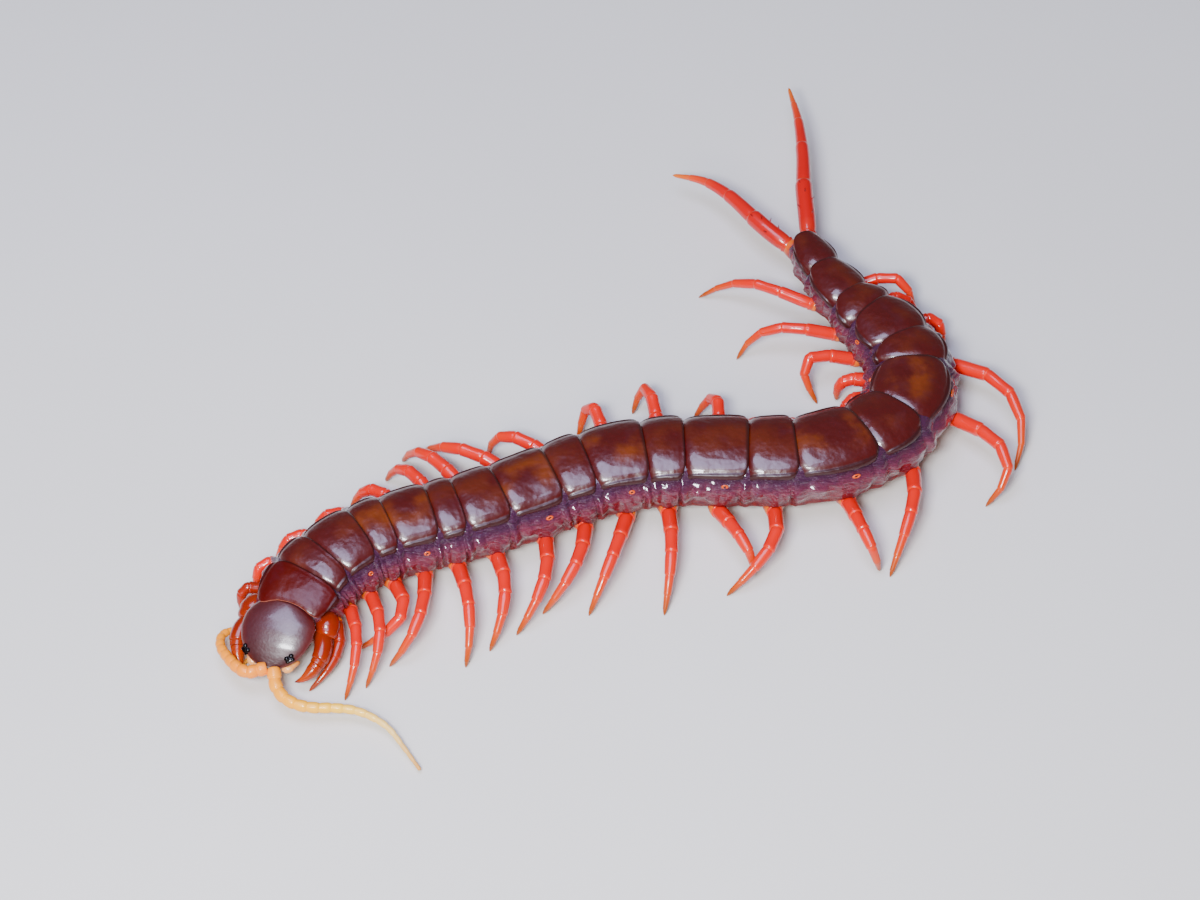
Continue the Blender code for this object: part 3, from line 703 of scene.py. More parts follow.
# %% Closed forms along X
def tube(name, stations, sides):
    """A closed tube along X: a disc is extruded from station to station and scaled at each."""
    place, radius = stations[0]
    bpy.ops.mesh.primitive_circle_add(
        vertices=sides, radius=radius * MM, fill_type="NGON",
        location=(place * MM, 0, 0), rotation=(0, math.pi / 2, 0))
    piece = start(name)
    for (before, old), (place, radius) in zip(stations, stations[1:]):
        extrude(place - before, 0)
        scale(1, radius / old, radius / old, (place, 0, 0))
    done()
    right_way_out(piece)
    return piece


def grow(name, half_ring, stations):
    """A closed form along X, extruded from station to station and scaled at each.

    The half ring's points are shares across and down. A station is a place, a half width, the
    height of its top and a depth.
    """
    ring = [*half_ring, *((-across, down) for across, down in reversed(half_ring[1:-1]))]
    bpy.ops.mesh.primitive_circle_add(vertices=len(ring), radius=MM, fill_type="NGON")
    piece = start(name)
    done()
    place, half, top, depth = stations[0]
    for vert, (across, down) in zip(piece.data.vertices, ring):
        vert.co = Vector((place, across * half, top - down * depth)) * MM
    only(piece)
    bpy.ops.object.mode_set(mode="EDIT")
    bpy.ops.mesh.select_all(action="SELECT")
    for old, new in zip(stations, stations[1:]):
        extrude(new[0] - old[0], new[2] - old[2])
        scale(1, new[1] / old[1], new[3] / old[3], (new[0], 0, new[2]))
    done()
    right_way_out(piece)
    return piece


print("tubes and grown forms ready")


# %% Limbs along a line
def articled(joints, radii, form):
    """Stations of a limb whose articles all have the same form of waist and collar."""
    stations = []
    for first, last in zip(joints, joints[1:]):
        for share, factor in form:
            place = first + share * (last - first)
            stations.append((place, factor * profile(radii, place)))
    return stations


def smooth_line(points, steps=8):
    """A Catmull-Rom line through points."""
    points = [Vector(p) for p in points]
    ends = [2 * points[0] - points[1], *points, 2 * points[-1] - points[-2]]
    line = []
    for a, b, c, d in zip(ends, ends[1:], ends[2:], ends[3:]):
        for k in range(steps):
            t = k / steps
            line.append(0.5 * (2 * b + (c - a) * t + (2 * a - 5 * b + 4 * c - d) * t ** 2
                               + (3 * b - a - 3 * c + d) * t ** 3))
    return [*line, points[-1]]


def length_of(points):
    return sum((b - a).length for a, b in zip(points, points[1:]))


def bend_over(piece, points):
    """Bends a straight piece along a line of points, then clears the line away."""
    line = make_line(points)
    bend(piece, line)
    bpy.data.objects.remove(line)


def off_the_floor(piece):
    """Flattens what would dip into the floor."""
    for vert in piece.data.vertices:
        vert.co.z = max(vert.co.z, 0.0)


def lay(piece, points, wide=1.0, tall=1.0, length=None):
    """Stretches a straight limb to a line's length, bends it along the line and smooths it."""
    length = length or length_of(points)
    shape(piece, lambda p: (p.x * length, p.y * wide, p.z * tall))
    bend_over(piece, points)
    off_the_floor(piece)
    smooth(piece, 60)
    return piece


def sunk(points, depth):
    """A line that begins a little deeper inside the body."""
    return [points[0] - (points[1] - points[0]).normalized() * depth, *points]


HANDS = {1: "left", -1: "right"}
print("sides", HANDS)

# %% [markdown]
# ## The soft skin
#
# One continuous skin runs from neck to tail below the plates. On a real animal it is a wet,
# folded membrane that lets the plates slide. It starts as a ring in the shape of the body's
# section, which is extruded and scaled from segment to segment. Folds are then pressed into its
# sides at each joint, with finer wrinkles between, and one subdivision rounds them.

# %% Skin folds
SKIN_FOLDS = [
    (0.0, -1.0), (0.05, -0.85), (0.1, -0.5), (0.16, -0.15), (0.23, 0.08), (0.3, 0.02),
    (0.37, -0.12), (0.44, 0.12), (0.51, 0.3), (0.65, 0.35), (0.72, 0.16), (0.79, 0.02),
    (0.86, 0.0), (0.92, -0.35), (0.96, -0.75), (1.0, -1.0)]
# Each wrinkle: size and depth.
WRINKLES = [(1.5, 0.35), (0.65, 0.25)]
FOLD_AT, FOLD_REACH = 0.52, 0.42
NECK_CALM, NECK_PRESS = 4.0, 0.5
# Soft lobes of each side: place in the segment, drop, reach along and down, and push.
LOBES = [(0.24, 0.42, 0.2, 0.13, 0.5), (0.6, 0.7, 0.28, 0.18, 0.95), (0.84, 0.45, 0.12, 0.16, 0.4)]


def flank_half(place):
    segment = segment_at(place)
    return profile(WIDTH_AT, segment) / 2 - profile(FLANK_INSET, segment)


def fold_rule(p):
    """Pushes the side in or out by its place in the segment, most at mid height."""
    depth = profile(DEPTH_AT, segment_at(p.x))
    drop = -p.z / depth
    number = min(COUNT, max(1, int(segment_at(p.x)) + 1))
    share = (p.x - JOINTS[number - 1]) / SEGMENTS[number - 1][0]
    weight = max(0.0, 1.0 - ((drop - FOLD_AT) / FOLD_REACH) ** 2)
    slanted = Vector((p.x * 0.7, p.y, p.z + p.x * 0.5))
    wrinkle = sum(noise.noise(slanted / size) * deep for size, deep in WRINKLES)
    push = (profile(SKIN_FOLDS, share) + wrinkle) * weight
    push += sum(lobe * math.exp(-((share - at) / long) ** 2 - ((drop - low) / tall) ** 2)
                for at, low, long, tall, lobe in LOBES)
    calm = min(1.0, max(0.0, p.x / NECK_CALM))
    push = min(push, push * calm) - NECK_PRESS * (1 - calm)
    return p.x, p.y + math.copysign(push, p.y) * min(1.0, abs(p.y)), p.z


print("folds", len(SKIN_FOLDS), "and lobes", len(LOBES), "in each segment")

# %% Skin
SKIN_SECTION = [
    (0.0, 0.05), (0.3, 0.055), (0.55, 0.075), (0.72, 0.12), (0.81, 0.18), (0.85, 0.24), (0.9, 0.29),
    (0.96, 0.34), (1.01, 0.39), (1.035, 0.44), (1.04, 0.5), (1.03, 0.56), (1.005, 0.62),
    (0.98, 0.68), (0.96, 0.74), (0.95, 0.8), (0.92, 0.86), (0.86, 0.92), (0.72, 0.97),
    (0.4, 0.995), (0.0, 1.0)]
SKIN_STATIONS = (
    0.0, 0.05, 0.1, 0.16, 0.23, 0.3, 0.37, 0.44, 0.51, 0.58, 0.65, 0.72, 0.79, 0.86, 0.92, 0.96)
SKIN_ENDS, LAST_STATION = (-1.6, 0.9), 0.3
# The ring is closed at the ends: shares of the width and of the depth there.
NECK_CLOSE, TAIL_CLOSE = (1.0, 0.8), (0.7, 0.75)
NECK_NARROWER = [(-1.6, 0.58), (0.0, 0.7), (1.6, 0.84), (3.6, 1.0)]
SIDE_FROM, SIDE_TO = 0.25, 0.85


def skin_ring():
    """Half of the section, with twice the points on the side, where the folds are."""
    ring = [SKIN_SECTION[0]]
    for before, after in zip(SKIN_SECTION, SKIN_SECTION[1:]):
        if SIDE_FROM < after[1] < SIDE_TO:
            ring.append(((before[0] + after[0]) / 2, (before[1] + after[1]) / 2))
        ring.append(after)
    return ring


def skin_stations():
    places = [JOINTS[0] + SKIN_ENDS[0]]
    for number, (length, _) in enumerate(SEGMENTS):
        places += [JOINTS[number] + share * length for share in SKIN_STATIONS]
    places += [JOINTS[-1] - LAST_STATION, JOINTS[-1] + SKIN_ENDS[1]]
    stations = [(place, flank_half(place) * profile(NECK_NARROWER, place), 0.0,
                 profile(DEPTH_AT, segment_at(place))) for place in places]
    for end, (wide, deep) in ((0, NECK_CLOSE), (-1, TAIL_CLOSE)):
        place, half, top, depth = stations[end]
        stations[end] = (place, half * wide, top, depth * deep)
    return stations


def make_skin():
    piece = grow("skin", skin_ring(), skin_stations())
    apply(piece, "SUBSURF", levels=1, render_levels=1)
    mark(piece, lambda p: (p.x / JOINTS[-1], -p.z / profile(DEPTH_AT, segment_at(p.x))))
    shape(piece, fold_rule)
    bend_to_body(piece, 0.0)
    smooth(piece, 80)
    return piece


skin = make_skin()
keep(skin, "skin", skin_material, "plate", [f"trunk_{i}" for i in range(1, 8)])
print("skin", len(skin.data.polygons), "faces")

# %% [markdown]
# ## Back plates
#
# Each segment has a hard arched plate whose rear edge lies over the front of the next. One flat
# grid is the pattern for all: two fine grooves run along it and its side edges are turned up
# into a rim. Each copy is arched, cut to its segment's length and width, thickened and rounded,
# and then bent along the body.

# %% Plate pattern
PLATE_ROWS, PLATE_COLUMNS = 20, 60
GROOVE_AT, GROOVE_DEPTH = 0.27, 0.008
GROOVE_FROM, GROOVE_TO = 0.05, 0.88
RIM_MOVES = [(0.8667, -0.06), (0.9, -0.14), (0.9333, 0.04), (0.9667, 0.08), (1.0, -0.4)]
REAR_MOVES = [(0.9, -0.04), (1.0, 0.05)]
PLATE_THICKNESS = 0.3


def plate_pattern():
    """A flat grid with X from 0 to 1 and Y from -1 to 1, in millimetres."""
    bpy.ops.mesh.primitive_grid_add(
        x_subdivisions=PLATE_ROWS, y_subdivisions=PLATE_COLUMNS, size=2 * MM)
    piece = start("plate_pattern")
    scale(0.5, 1, 1)
    move(0.5, 0, 0)
    column = 1.0 / PLATE_COLUMNS
    pick(lambda p: abs(abs(p.y) - GROOVE_AT) <= column and GROOVE_FROM < p.x < GROOVE_TO)
    move(0, 0, -GROOVE_DEPTH)
    for place, rise in RIM_MOVES:
        pick(lambda p: abs(abs(p.y) - place) < column / 2)
        move(0, 0, rise)
    for place, rise in REAR_MOVES:
        pick(lambda p: abs(p.x - place) < column / 2 and abs(p.y) < RIM_MOVES[0][0])
        move(0, 0, rise)
    done()
    return piece


pattern = plate_pattern()
print("pattern", len(pattern.data.polygons), "faces")

# %% Plate sizes
PLATE_WIDTHS = [(0, 0.9), (0.14, 0.955), (0.35, 0.995), (0.7, 1.025), (0.9, 1.025), (1.0, 0.99)]
TAIL_BARREL = [(13, 0.0), (17, 0.12)]
FRONT_RISE = [
    (0.0, -0.5), (0.5, -0.3), (0.9, -0.02), (1.3, 0.22), (1.8, 0.37), (2.6, 0.46), (3.6, 0.5)]
REAR_RISE = [(0.0, 0.4), (0.8, 0.48), (2.0, 0.5)]
NECK_RISE = [(0.0, 0.12), (0.5, 0.26), (1.4, 0.4), (3.0, 0.48)]
EDGE_DROP, ARCH_POWER = 0.2, 2.6
FRONT_TUCK, REAR_LAP = 0.35, 0.55
CORNER_CUTS = [(1, 1.3), (3, 0.9), (13, 0.9), (15, 1.7), (21, 1.7)]
CORNER_POWERS = [(1, 6), (3, 10), (13, 10), (15, 6), (21, 6)]
FRONT_CORNER, LAST_BULGE, LAST_SHORTER = 0.6, 0.9, 0.6
SHOULDER_DROP, SHOULDER_LENGTH = 0.45, 2.4
RIM_SLANT = [(0.7, 0.0), (0.9, 0.035), (1.0, 0.0)]
NECK_EDGE = [(0, -0.35), (0.3, -0.5), (0.5, -0.9), (0.65, -1.3), (0.78, -1.4), (0.87, -1.0),
             (0.94, -0.1), (1.0, 1.4)]
NECK_WIDER, NECK_ASIDE = 1.06, 0.65
WARM_PLATES = (4, 5, 8, 10, 14, 16)
NECK_PLATE_END = 5.5
PLATE_JOINTS = [0.0, NECK_PLATE_END, *JOINTS[2:]]


def plate_rule(number):
    """Arches a copy of the pattern and gives it its segment's size."""
    first = PLATE_JOINTS[number - 1]
    length = PLATE_JOINTS[number] - first

    def rule(p):
        across = abs(p.y)
        wide = across + profile(RIM_SLANT, across) * (1 - 2 * p.x)
        corner = profile(CORNER_CUTS, number) * across ** profile(CORNER_POWERS, number)
        front = -FRONT_TUCK + FRONT_CORNER * corner
        rear = length + REAR_LAP - corner
        if number == 1:
            front = profile(NECK_EDGE, across)
        if number == COUNT:
            rear += LAST_BULGE * (1 - across ** 2) - LAST_SHORTER
        x = front + (rear - front) * p.x
        segment = segment_at(first + x)
        half = profile(WIDTH_AT, segment) / 2 * profile(PLATE_SHARE, segment)
        half *= profile(PLATE_WIDTHS, p.x)
        half *= 1 - profile(TAIL_BARREL, number) * (2 * p.x - 1) ** 2
        depth = profile(DEPTH_AT, segment)
        from_front = (rear - front) * p.x
        rise = NECK_RISE if number == 1 else FRONT_RISE
        lift = min(profile(rise, from_front), profile(REAR_RISE, rear - x))
        z = lift - EDGE_DROP * depth * wide ** ARCH_POWER
        if number == 1:
            return x, math.copysign(wide * half * NECK_WIDER, p.y) - NECK_ASIDE, z + p.z
        z -= SHOULDER_DROP * across ** 3 * max(0.0, 1 - from_front / SHOULDER_LENGTH) ** 2
        return x, math.copysign(wide * half, p.y), z + p.z
    return rule


print("plate joints", [round(float(place), 1) for place in PLATE_JOINTS])


# %% Back plates
def make_back_plate(number):
    piece = copy_of(pattern, f"back_plate_{number:02d}")
    mark(piece, lambda p: (p.x, p.y))
    shape(piece, plate_rule(number))
    apply(piece, "SOLIDIFY", thickness=PLATE_THICKNESS * MM, offset=-1.0)
    apply(piece, "SUBSURF", levels=1, render_levels=1)
    bend_to_body(piece, PLATE_JOINTS[number - 1])
    smooth(piece, 60)
    finish = plates["neck" if number == 1 else "warm" if number in WARM_PLATES else "dark"]
    return keep(piece, piece.name, finish, "plate")


back_plates = [make_back_plate(number) for number in range(1, COUNT + 1)]
print("back plates", len(back_plates), "of", len(back_plates[0].data.polygons), "faces")

# %% [markdown]
# ## Belly plates
#
# Under each segment lies a flatter, narrower plate. It comes from the same pattern.

# %% Belly plates
BELLY_HALF, BELLY_EDGE = 0.6, 0.09
BELLY_FRONT, BELLY_REAR = 0.06, 0.97
BELLY_SINK, BELLY_CORNER = 0.1, 0.8
BELLY_RELIEF, BELLY_THICKNESS = 0.6, 0.2


def belly_rule(number):
    length = SEGMENTS[number - 1][0]
    first = JOINTS[number - 1]

    def rule(p):
        corner = BELLY_CORNER * abs(p.y) ** 5
        share = BELLY_FRONT + (BELLY_REAR - BELLY_FRONT) * p.x
        x = share * length + (0.5 - p.x) * 2 * corner
        depth = profile(DEPTH_AT, segment_at(first + x))
        z = -depth - BELLY_SINK + BELLY_EDGE * depth * abs(p.y) ** 4
        return x, p.y * flank_half(first + x) * BELLY_HALF, z - BELLY_RELIEF * p.z
    return rule


def make_belly_plate(number):
    piece = copy_of(pattern, f"belly_plate_{number:02d}")
    mark(piece, lambda p: (p.x, p.y))
    shape(piece, belly_rule(number))
    apply(piece, "SOLIDIFY", thickness=BELLY_THICKNESS * MM, offset=1.0)
    apply(piece, "SUBSURF", levels=1, render_levels=1)
    right_way_out(piece)
    bend_to_body(piece, JOINTS[number - 1])
    smooth(piece, 60)
    return keep(piece, piece.name, belly_material, "plate")


belly_plates = [make_belly_plate(number) for number in range(1, COUNT + 1)]
bpy.data.objects.remove(pattern)
print("belly plates", len(belly_plates))

# %% [markdown]
# ## Walking legs
#
# A leg is a chain of six hard articles joined by soft rings, and ends in a small claw. The first
# joint sits in a soft amber cup on the body's side. One straight leg and one cup are the
# patterns. Each copy is stretched to its leg's length and bent along the line from the body by
# way of the knee to the floor.

# %% Leg sizes
COXA_PLACE = 0.58
COXA_HEIGHT = [(0, 4.4), (16, 4.4), (18, 4.7), (20, 5.0)]
COXA_OUT = [(0, 0.35), (7, 0.35), (8, 0.42), (16, 0.35), (17, 0.6), (18, 0.95), (19, 1.15),
            (20, 1.05)]
COXA_LEAN, COXA_RISE, COXA_ROOT = 35.0, 20.0, 3.0
LEG_GIRTH = [(1, 0.9), (4, 1.05), (7, 1.14), (16, 1.14), (20, 0.95)]
LEG_RADII = [(0, 1.15), (0.1, 1.25), (0.3, 1.1), (0.42, 0.98), (0.56, 0.98), (0.7, 0.74),
             (0.84, 0.56), (0.96, 0.34), (1, 0.26)]
FOOT_HEIGHT = 0.1
# For each leg: knee out, knee forward, knee height, foot out, foot forward, from the cup's face.
LEFT_LEGS = [
    (2.3, 6.0, 2.8, 1.5, 11.2), (6.4, 5.5, 5.4, 9.4, 12.0), (8.2, 4.0, 5.8, 12.2, 10.0),
    (7.6, 2.2, 5.8, 6.5, 9.6), (10.0, 4.4, 5.8, 13.0, 10.4), (10.6, 1.2, 5.8, 17.2, 4.0),
    (9.2, 2.0, 5.8, 15.0, 7.0), (8.8, 4.0, 5.8, 13.4, 10.8), (8.0, 4.8, 5.8, 11.6, 11.8),
    (9.0, 4.8, 5.8, 15.6, 10.2), (9.4, 0.4, 5.8, 18.4, 2.4), (8.2, -4.2, 6.2, 10.0, -6.0),
    (8.2, 1.0, 5.8, 14.4, 8.4), (10.0, 0.4, 6.2, 12.4, -1.0), (6.6, 8.0, 6.0, 11.2, 16.4),
    (11.0, 7.0, 6.0, 9.4, 14.0), (7.6, 12.0, 5.6, 5.0, 22.2), (3.4, 1.6, 5.6, 2.6, 5.0),
    (4.0, 1.7, 6.0, 4.2, 6.4), (6.5, 3.6, 7.4, 7.6, 8.4),
]
RIGHT_LEGS = [
    (2.4, 1.8, 4.8, 1.4, 3.6), (2.2, 3.2, 5.2, 1.6, 5.2), (2.5, 3.5, 5.2, 2.5, 7.0),
    (2.8, 3.5, 5.2, 2.8, 7.5), (4.5, 3.0, 5.4, 6.0, 6.5), (6.5, 2.5, 5.6, 9.5, 5.5),
    (8.5, 3.5, 5.8, 13.0, 6.5), (7.4, 6.6, 5.8, 13.4, 11.0), (6.6, 5.8, 5.8, 8.2, 8.8),
    (8.4, 0.6, 6.0, 6.4, 3.4), (10.4, 1.0, 6.0, 10.0, 3.6), (8.0, 0.0, 6.0, 8.4, 3.6),
    (3.0, 1.5, 5.4, 6.0, 4.5), (3.0, 2.0, 5.2, 5.5, 6.0), (2.4, 2.0, 4.6, 3.4, 5.4),
    (2.8, 1.6, 4.2, 3.2, 4.6), (3.9, -1.0, 4.2, 4.9, -0.7), (7.2, -4.4, 6.0, 8.8, 1.0),
    (6.6, -8.0, 6.2, 14.2, -9.9), (4.4, -8.8, 6.8, 13.8, -15.6),
]
LINE_POINTS = 40
# Where the rounded bend begins and turns, as shares of the way to the next joint.
BEND_SHARES = (0.16, 0.05)
print("legs on each side", len(LEFT_LEGS), len(RIGHT_LEGS))


# %% Leg lines
def cubic(start, first, second, end):
    """Points of a cubic Bezier line."""
    shares = [k / LINE_POINTS for k in range(LINE_POINTS + 1)]
    return [(1 - t) ** 3 * start + 3 * (1 - t) ** 2 * t * first + 3 * (1 - t) * t * t * second
            + t ** 3 * end for t in shares]


def leg_line(number, side):
    """(root, line) of a leg: the cup's root inside the body and the line from its face."""
    out_by, ahead_by, knee_height, foot_out, foot_ahead = (
        LEFT_LEGS if side > 0 else RIGHT_LEGS)[number - 1]
    place = JOINTS[number - 1] + COXA_PLACE * SEGMENTS[number - 1][0]
    point, forward, left, _ = frame_at(place)
    out = left * side
    forward = Vector((forward.x, forward.y, 0.0)).normalized()
    flank = profile(WIDTH_AT, number) / 2 - profile(FLANK_INSET, number)
    centre = point + out * (flank + profile(COXA_OUT, number))
    centre.z = profile(COXA_HEIGHT, number)
    knee = centre + out * out_by + forward * ahead_by
    knee.z = knee_height
    foot = centre + out * foot_out + forward * foot_ahead
    foot.z = FOOT_HEIGHT
    pull = 2 * knee - (centre + foot) / 2
    reach = pull - centre
    limit = math.radians(COXA_LEAN)
    lean = max(-limit, min(limit, math.atan2(reach.dot(forward), reach.dot(out))))
    level = math.hypot(reach.dot(forward), reach.dot(out))
    along = (out * math.cos(lean) + forward * math.sin(lean)) * level
    along.z = min(reach.z, level * math.tan(math.radians(COXA_RISE)))
    along.normalize()
    line = cubic(centre, centre + along * reach.length * 2 / 3, foot + (pull - foot) * 2 / 3, foot)
    return centre - out * COXA_ROOT, line


def along_line(points, share):
    """The point at a share of a line's length."""
    left_over = share * length_of(points)
    for a, b in zip(points, points[1:]):
        if (b - a).length >= left_over:
            return a.lerp(b, left_over / (b - a).length)
        left_over -= (b - a).length
    return points[-1]


def kinked(points, shares):
    """The same line as straight articles that meet in small rounded bends at the joints."""
    corners = [along_line(points, share) for share in shares]
    line = [corners[0]]
    for before, corner, after in zip(corners, corners[1:], corners[2:]):
        line += [corner.lerp(before, share) for share in BEND_SHARES]
        line += [corner.lerp(after, share) for share in reversed(BEND_SHARES)]
    return [*line, corners[-1]]


leg_lengths = [length_of(leg_line(number, side)[1]) for number in range(1, COUNT) for side in HANDS]
print("walking legs", round(min(leg_lengths), 1), "to", round(max(leg_lengths), 1), "mm long")

# %% Leg patterns
LEG_SIDES = 14
LEG_JOINT_SHARES = (0.0, 0.055, 0.29, 0.49, 0.68, 0.84, 0.955)
ARTICLE_FORM = ((0.0, 0.88), (0.04, 0.93), (0.12, 0.97), (0.4, 0.98), (0.7, 1.0), (0.88, 1.05),
                (0.95, 1.06), (0.985, 0.98))
CLAW_FORM = [(0.955, 0.3), (0.965, 0.3), (0.98, 0.22), (0.992, 0.12), (1.0, 0.04)]
CUP_FORM = [(0.0, 1.2), (0.2, 1.6), (0.45, 1.8), (0.65, 1.7), (0.8, 1.5), (0.92, 1.36),
            (1.02, 1.28), (1.1, 1.16), (1.15, 0.9)]


def around(p):
    """Share of the way round a straight limb."""
    return math.atan2(p.y, p.z) / math.tau + 0.5


def limb_pattern(name, stations, sides=LEG_SIDES):
    """A straight limb, one millimetre long and as thick as a real one."""
    piece = tube(name, stations, sides)
    apply(piece, "SUBSURF", levels=1, render_levels=1)
    mark(piece, lambda p: (p.x, around(p)))
    return piece


leg_stations = articled(LEG_JOINT_SHARES, LEG_RADII, ARTICLE_FORM) + CLAW_FORM
leg_pattern = limb_pattern("leg_pattern", leg_stations)
cup_pattern = limb_pattern("cup_pattern", CUP_FORM)
print("leg pattern", len(leg_pattern.data.polygons), "faces")

# %% Walking legs
LEG_SINK = 0.35
LEG_BENDS = (0.0, 0.045, 0.28, 0.48, 0.67, 0.83, 1.0)
CUP_REACH, CUP_SHARE = 1.2, 1 / 1.4


def make_leg(number, side):
    hand = HANDS[side]
    root, line = leg_line(number, side)
    line = kinked(line, LEG_BENDS)
    girth = profile(LEG_GIRTH, number)
    leg = copy_of(leg_pattern, f"leg_{hand}_{number:02d}")
    lay(leg, sunk(line, LEG_SINK), girth, girth)
    finish = first_leg_material if number == 1 else leg_material
    keep(leg, f"leg_{number:02d}_{hand}", finish, "leg", [f"leg_{hand}_{number:02d}"])
    reach = (line[1] - line[0]).normalized() * CUP_REACH
    cup_line = smooth_line([root, root + (line[0] - root) * 0.5, line[0], line[0] + reach])
    cup = copy_of(cup_pattern, f"cup_{hand}_{number:02d}")
    return lay(cup, cup_line, girth, girth, length_of(cup_line) * CUP_SHARE)


cups = [make_leg(number, side) for side in HANDS for number in range(1, COUNT)]
leg_cups = keep(joined("leg_cups", cups), "leg_cups", base_material, "leg")
print("legs", 2 * (COUNT - 1), "cups joined into", leg_cups.name)

# %% [markdown]
# ## Last legs
#
# The last pair trails behind, held off the floor. It is thicker, with a few dark spines on its
# first article, and rises from a swollen piece beside the last plate.

# %% Last leg sizes
LAST_LEG_LINES = {
    "left": [(1.9, 1.9, 6.2), (6.0, 3.6, 7.0), (12.0, 5.9, 7.6), (20.0, 9.6, 7.5),
             (29.0, 13.1, 6.6), (38.2, 15.7, 5.5)],
    "right": [(1.6, -1.9, 6.2), (5.6, -3.9, 7.0), (9.8, -5.2, 7.3), (16.6, -6.7, 7.0),
              (22.4, -9.0, 6.2), (27.0, -12.9, 5.0)],
}
LAST_LEG_RADII = [(0, 1.35), (0.08, 1.55), (0.28, 1.4), (0.5, 1.15), (0.66, 0.95), (0.82, 0.66),
                  (0.95, 0.36), (1, 0.25)]
LAST_JOINT_SHARES = (0.0, 0.03, 0.32, 0.57, 0.75, 0.88, 0.965)
LAST_CLAW_FORM = [(0.965, 0.32), (0.972, 0.33), (0.985, 0.24), (0.994, 0.12), (1.0, 0.04)]
LAST_SPINES = [(0.16, 40), (0.2, 140), (0.235, 90), (0.12, 120), (0.29, 60)]
LAST_GIRTH = 1.1
SWELL_FORM = [(0.0, 1.1), (0.2, 1.7), (0.45, 1.85), (0.7, 1.8), (0.88, 1.66), (1.0, 1.5),
              (1.06, 1.2)]
SWELL_ROOT, SWELL_REACH, SWELL_LENGTH, SWELL_TALL = 5.0, 2.0, 5.2, 1.1
print("spines on each last leg", len(LAST_SPINES))

# %% Spines
SPINE_LENGTH, SPINE_ROOT, SPINE_RADIUS, SPINE_TIP, SPINE_LEAN = 0.7, 0.4, 0.2, 0.03, 0.45


def make_spine(place, angle, radius):
    """A small thorn that leans back from a straight limb."""
    bpy.ops.mesh.primitive_cone_add(
        vertices=10, radius1=SPINE_RADIUS * MM, radius2=SPINE_TIP * MM,
        depth=SPINE_LENGTH * (1 + SPINE_ROOT) * MM,
        location=(0, 0, SPINE_LENGTH * (1 - SPINE_ROOT) / 2 * MM))
    piece = start("spine")
    bpy.ops.mesh.subdivide(number_cuts=2)
    done()
    turn = math.radians(angle)
    out = Vector((SPINE_LEAN, math.cos(turn), math.sin(turn))).normalized()
    piece.rotation_euler = out.to_track_quat("Z", "Y").to_euler()
    piece.location = Vector((place, radius * math.cos(turn), radius * math.sin(turn))) * MM
    mark(piece, lambda p: (min(1.0, max(0.0, p.z / SPINE_LENGTH + 0.3)), 0.0))
    only(piece)
    bpy.ops.object.transform_apply(location=True, rotation=True, scale=False)
    piece.data.materials.append(spine_material)
    return piece


print("spines", SPINE_LENGTH, "mm long")


# %% Last legs
def last_leg_line(side):
    """The line of a last leg, level with the floor's directions behind the last plate."""
    point, forward, left, _ = frame_at(JOINTS[-1])
    forward = Vector((forward.x, forward.y, 0.0)).normalized()
    points = []
    for back, out, height in LAST_LEG_LINES[HANDS[side]]:
        place = point - forward * back + left * out
        points.append(Vector((place.x, place.y, height)))
    return smooth_line(points)


def make_last_leg(side):
    line = last_leg_line(side)
    length = length_of(line)
    stations = articled(LAST_JOINT_SHARES, LAST_LEG_RADII, ARTICLE_FORM) + LAST_CLAW_FORM
    leg = limb_pattern("last_leg", stations)
    shape(leg, lambda p: (p.x * length, p.y * LAST_GIRTH, p.z * LAST_GIRTH))
    leg.data.materials.append(last_leg_material)
    spines = [make_spine(share * length, angle, profile(LAST_LEG_RADII, share))
              for share, angle in LAST_SPINES]
    leg = joined("last_leg", [leg, *spines])
    bend_over(leg, line)
    smooth(leg, 60)
    hand = HANDS[side]
    keep(leg, f"last_leg_{hand}", last_leg_material, "leg", [f"leg_{hand}_{COUNT}"])
    reach = line[0] + (line[1] - line[0]).normalized() * SWELL_REACH
    swell_line = [sunk(line, SWELL_ROOT)[0], line[0], reach]
    swell = limb_pattern("swell", SWELL_FORM)
    return lay(swell, swell_line, 1.0, SWELL_TALL, SWELL_LENGTH)


swells = [make_last_leg(side) for side in HANDS]
last_cups = keep(joined("last_leg_bases", swells), "last_leg_bases", base_material, "leg")
print("last legs on", last_cups.name)

# %% [markdown]
# ## Head shield and capsule
#
# The head is a rounded shield over a low capsule, pitched down from the neck. A closed tube is
# its start. Its rings follow the head's width and depth, and the shield's edge is a fold in the
# section.

# %% Head
HEAD_SECTIONS = [
    (0, 3.4, 0.1, 3.8), (0.7, 4.5, 0.0, 3.9), (1.6, 5.3, -0.1, 4.0), (3.4, 6.0, -0.25, 4.0),
    (5.6, 6.05, -0.3, 3.7), (7.7, 5.4, -0.05, 2.9), (9.5, 4.3, 0.45, 2.1), (10.6, 3.0, 0.85, 1.6),
    (11.2, 1.8, 1.1, 1.2)]
# Shares across and down: the shield as far as its edge, and then the capsule below it.
HEAD_OUTLINE = [
    (0, 0), (0.3, 0.02), (0.55, 0.09), (0.78, 0.2), (0.93, 0.33), (1.0, 0.46), (0.99, 0.52),
    (0.92, 0.56), (0.93, 0.66), (0.86, 0.82), (0.66, 0.95), (0.35, 1.0), (0, 1.0)]
SHIELD_POINTS = 6
HEAD_RINGS = 26


def head_value(place, column):
    """Half width (1), drop (2) or depth (3) of the head at a place from the neck."""
    return profile([(section[0], section[column]) for section in HEAD_SECTIONS], place)


def head_surface(place, out):
    """(along, across, height) of a point on the shield, in the straight body's directions."""
    half, drop, depth = (head_value(place, column) for column in (1, 2, 3))
    fall = profile(HEAD_OUTLINE[:SHIELD_POINTS], min(1.0, abs(out) / half))
    return Vector((-place, -out, -(drop + fall * depth)))


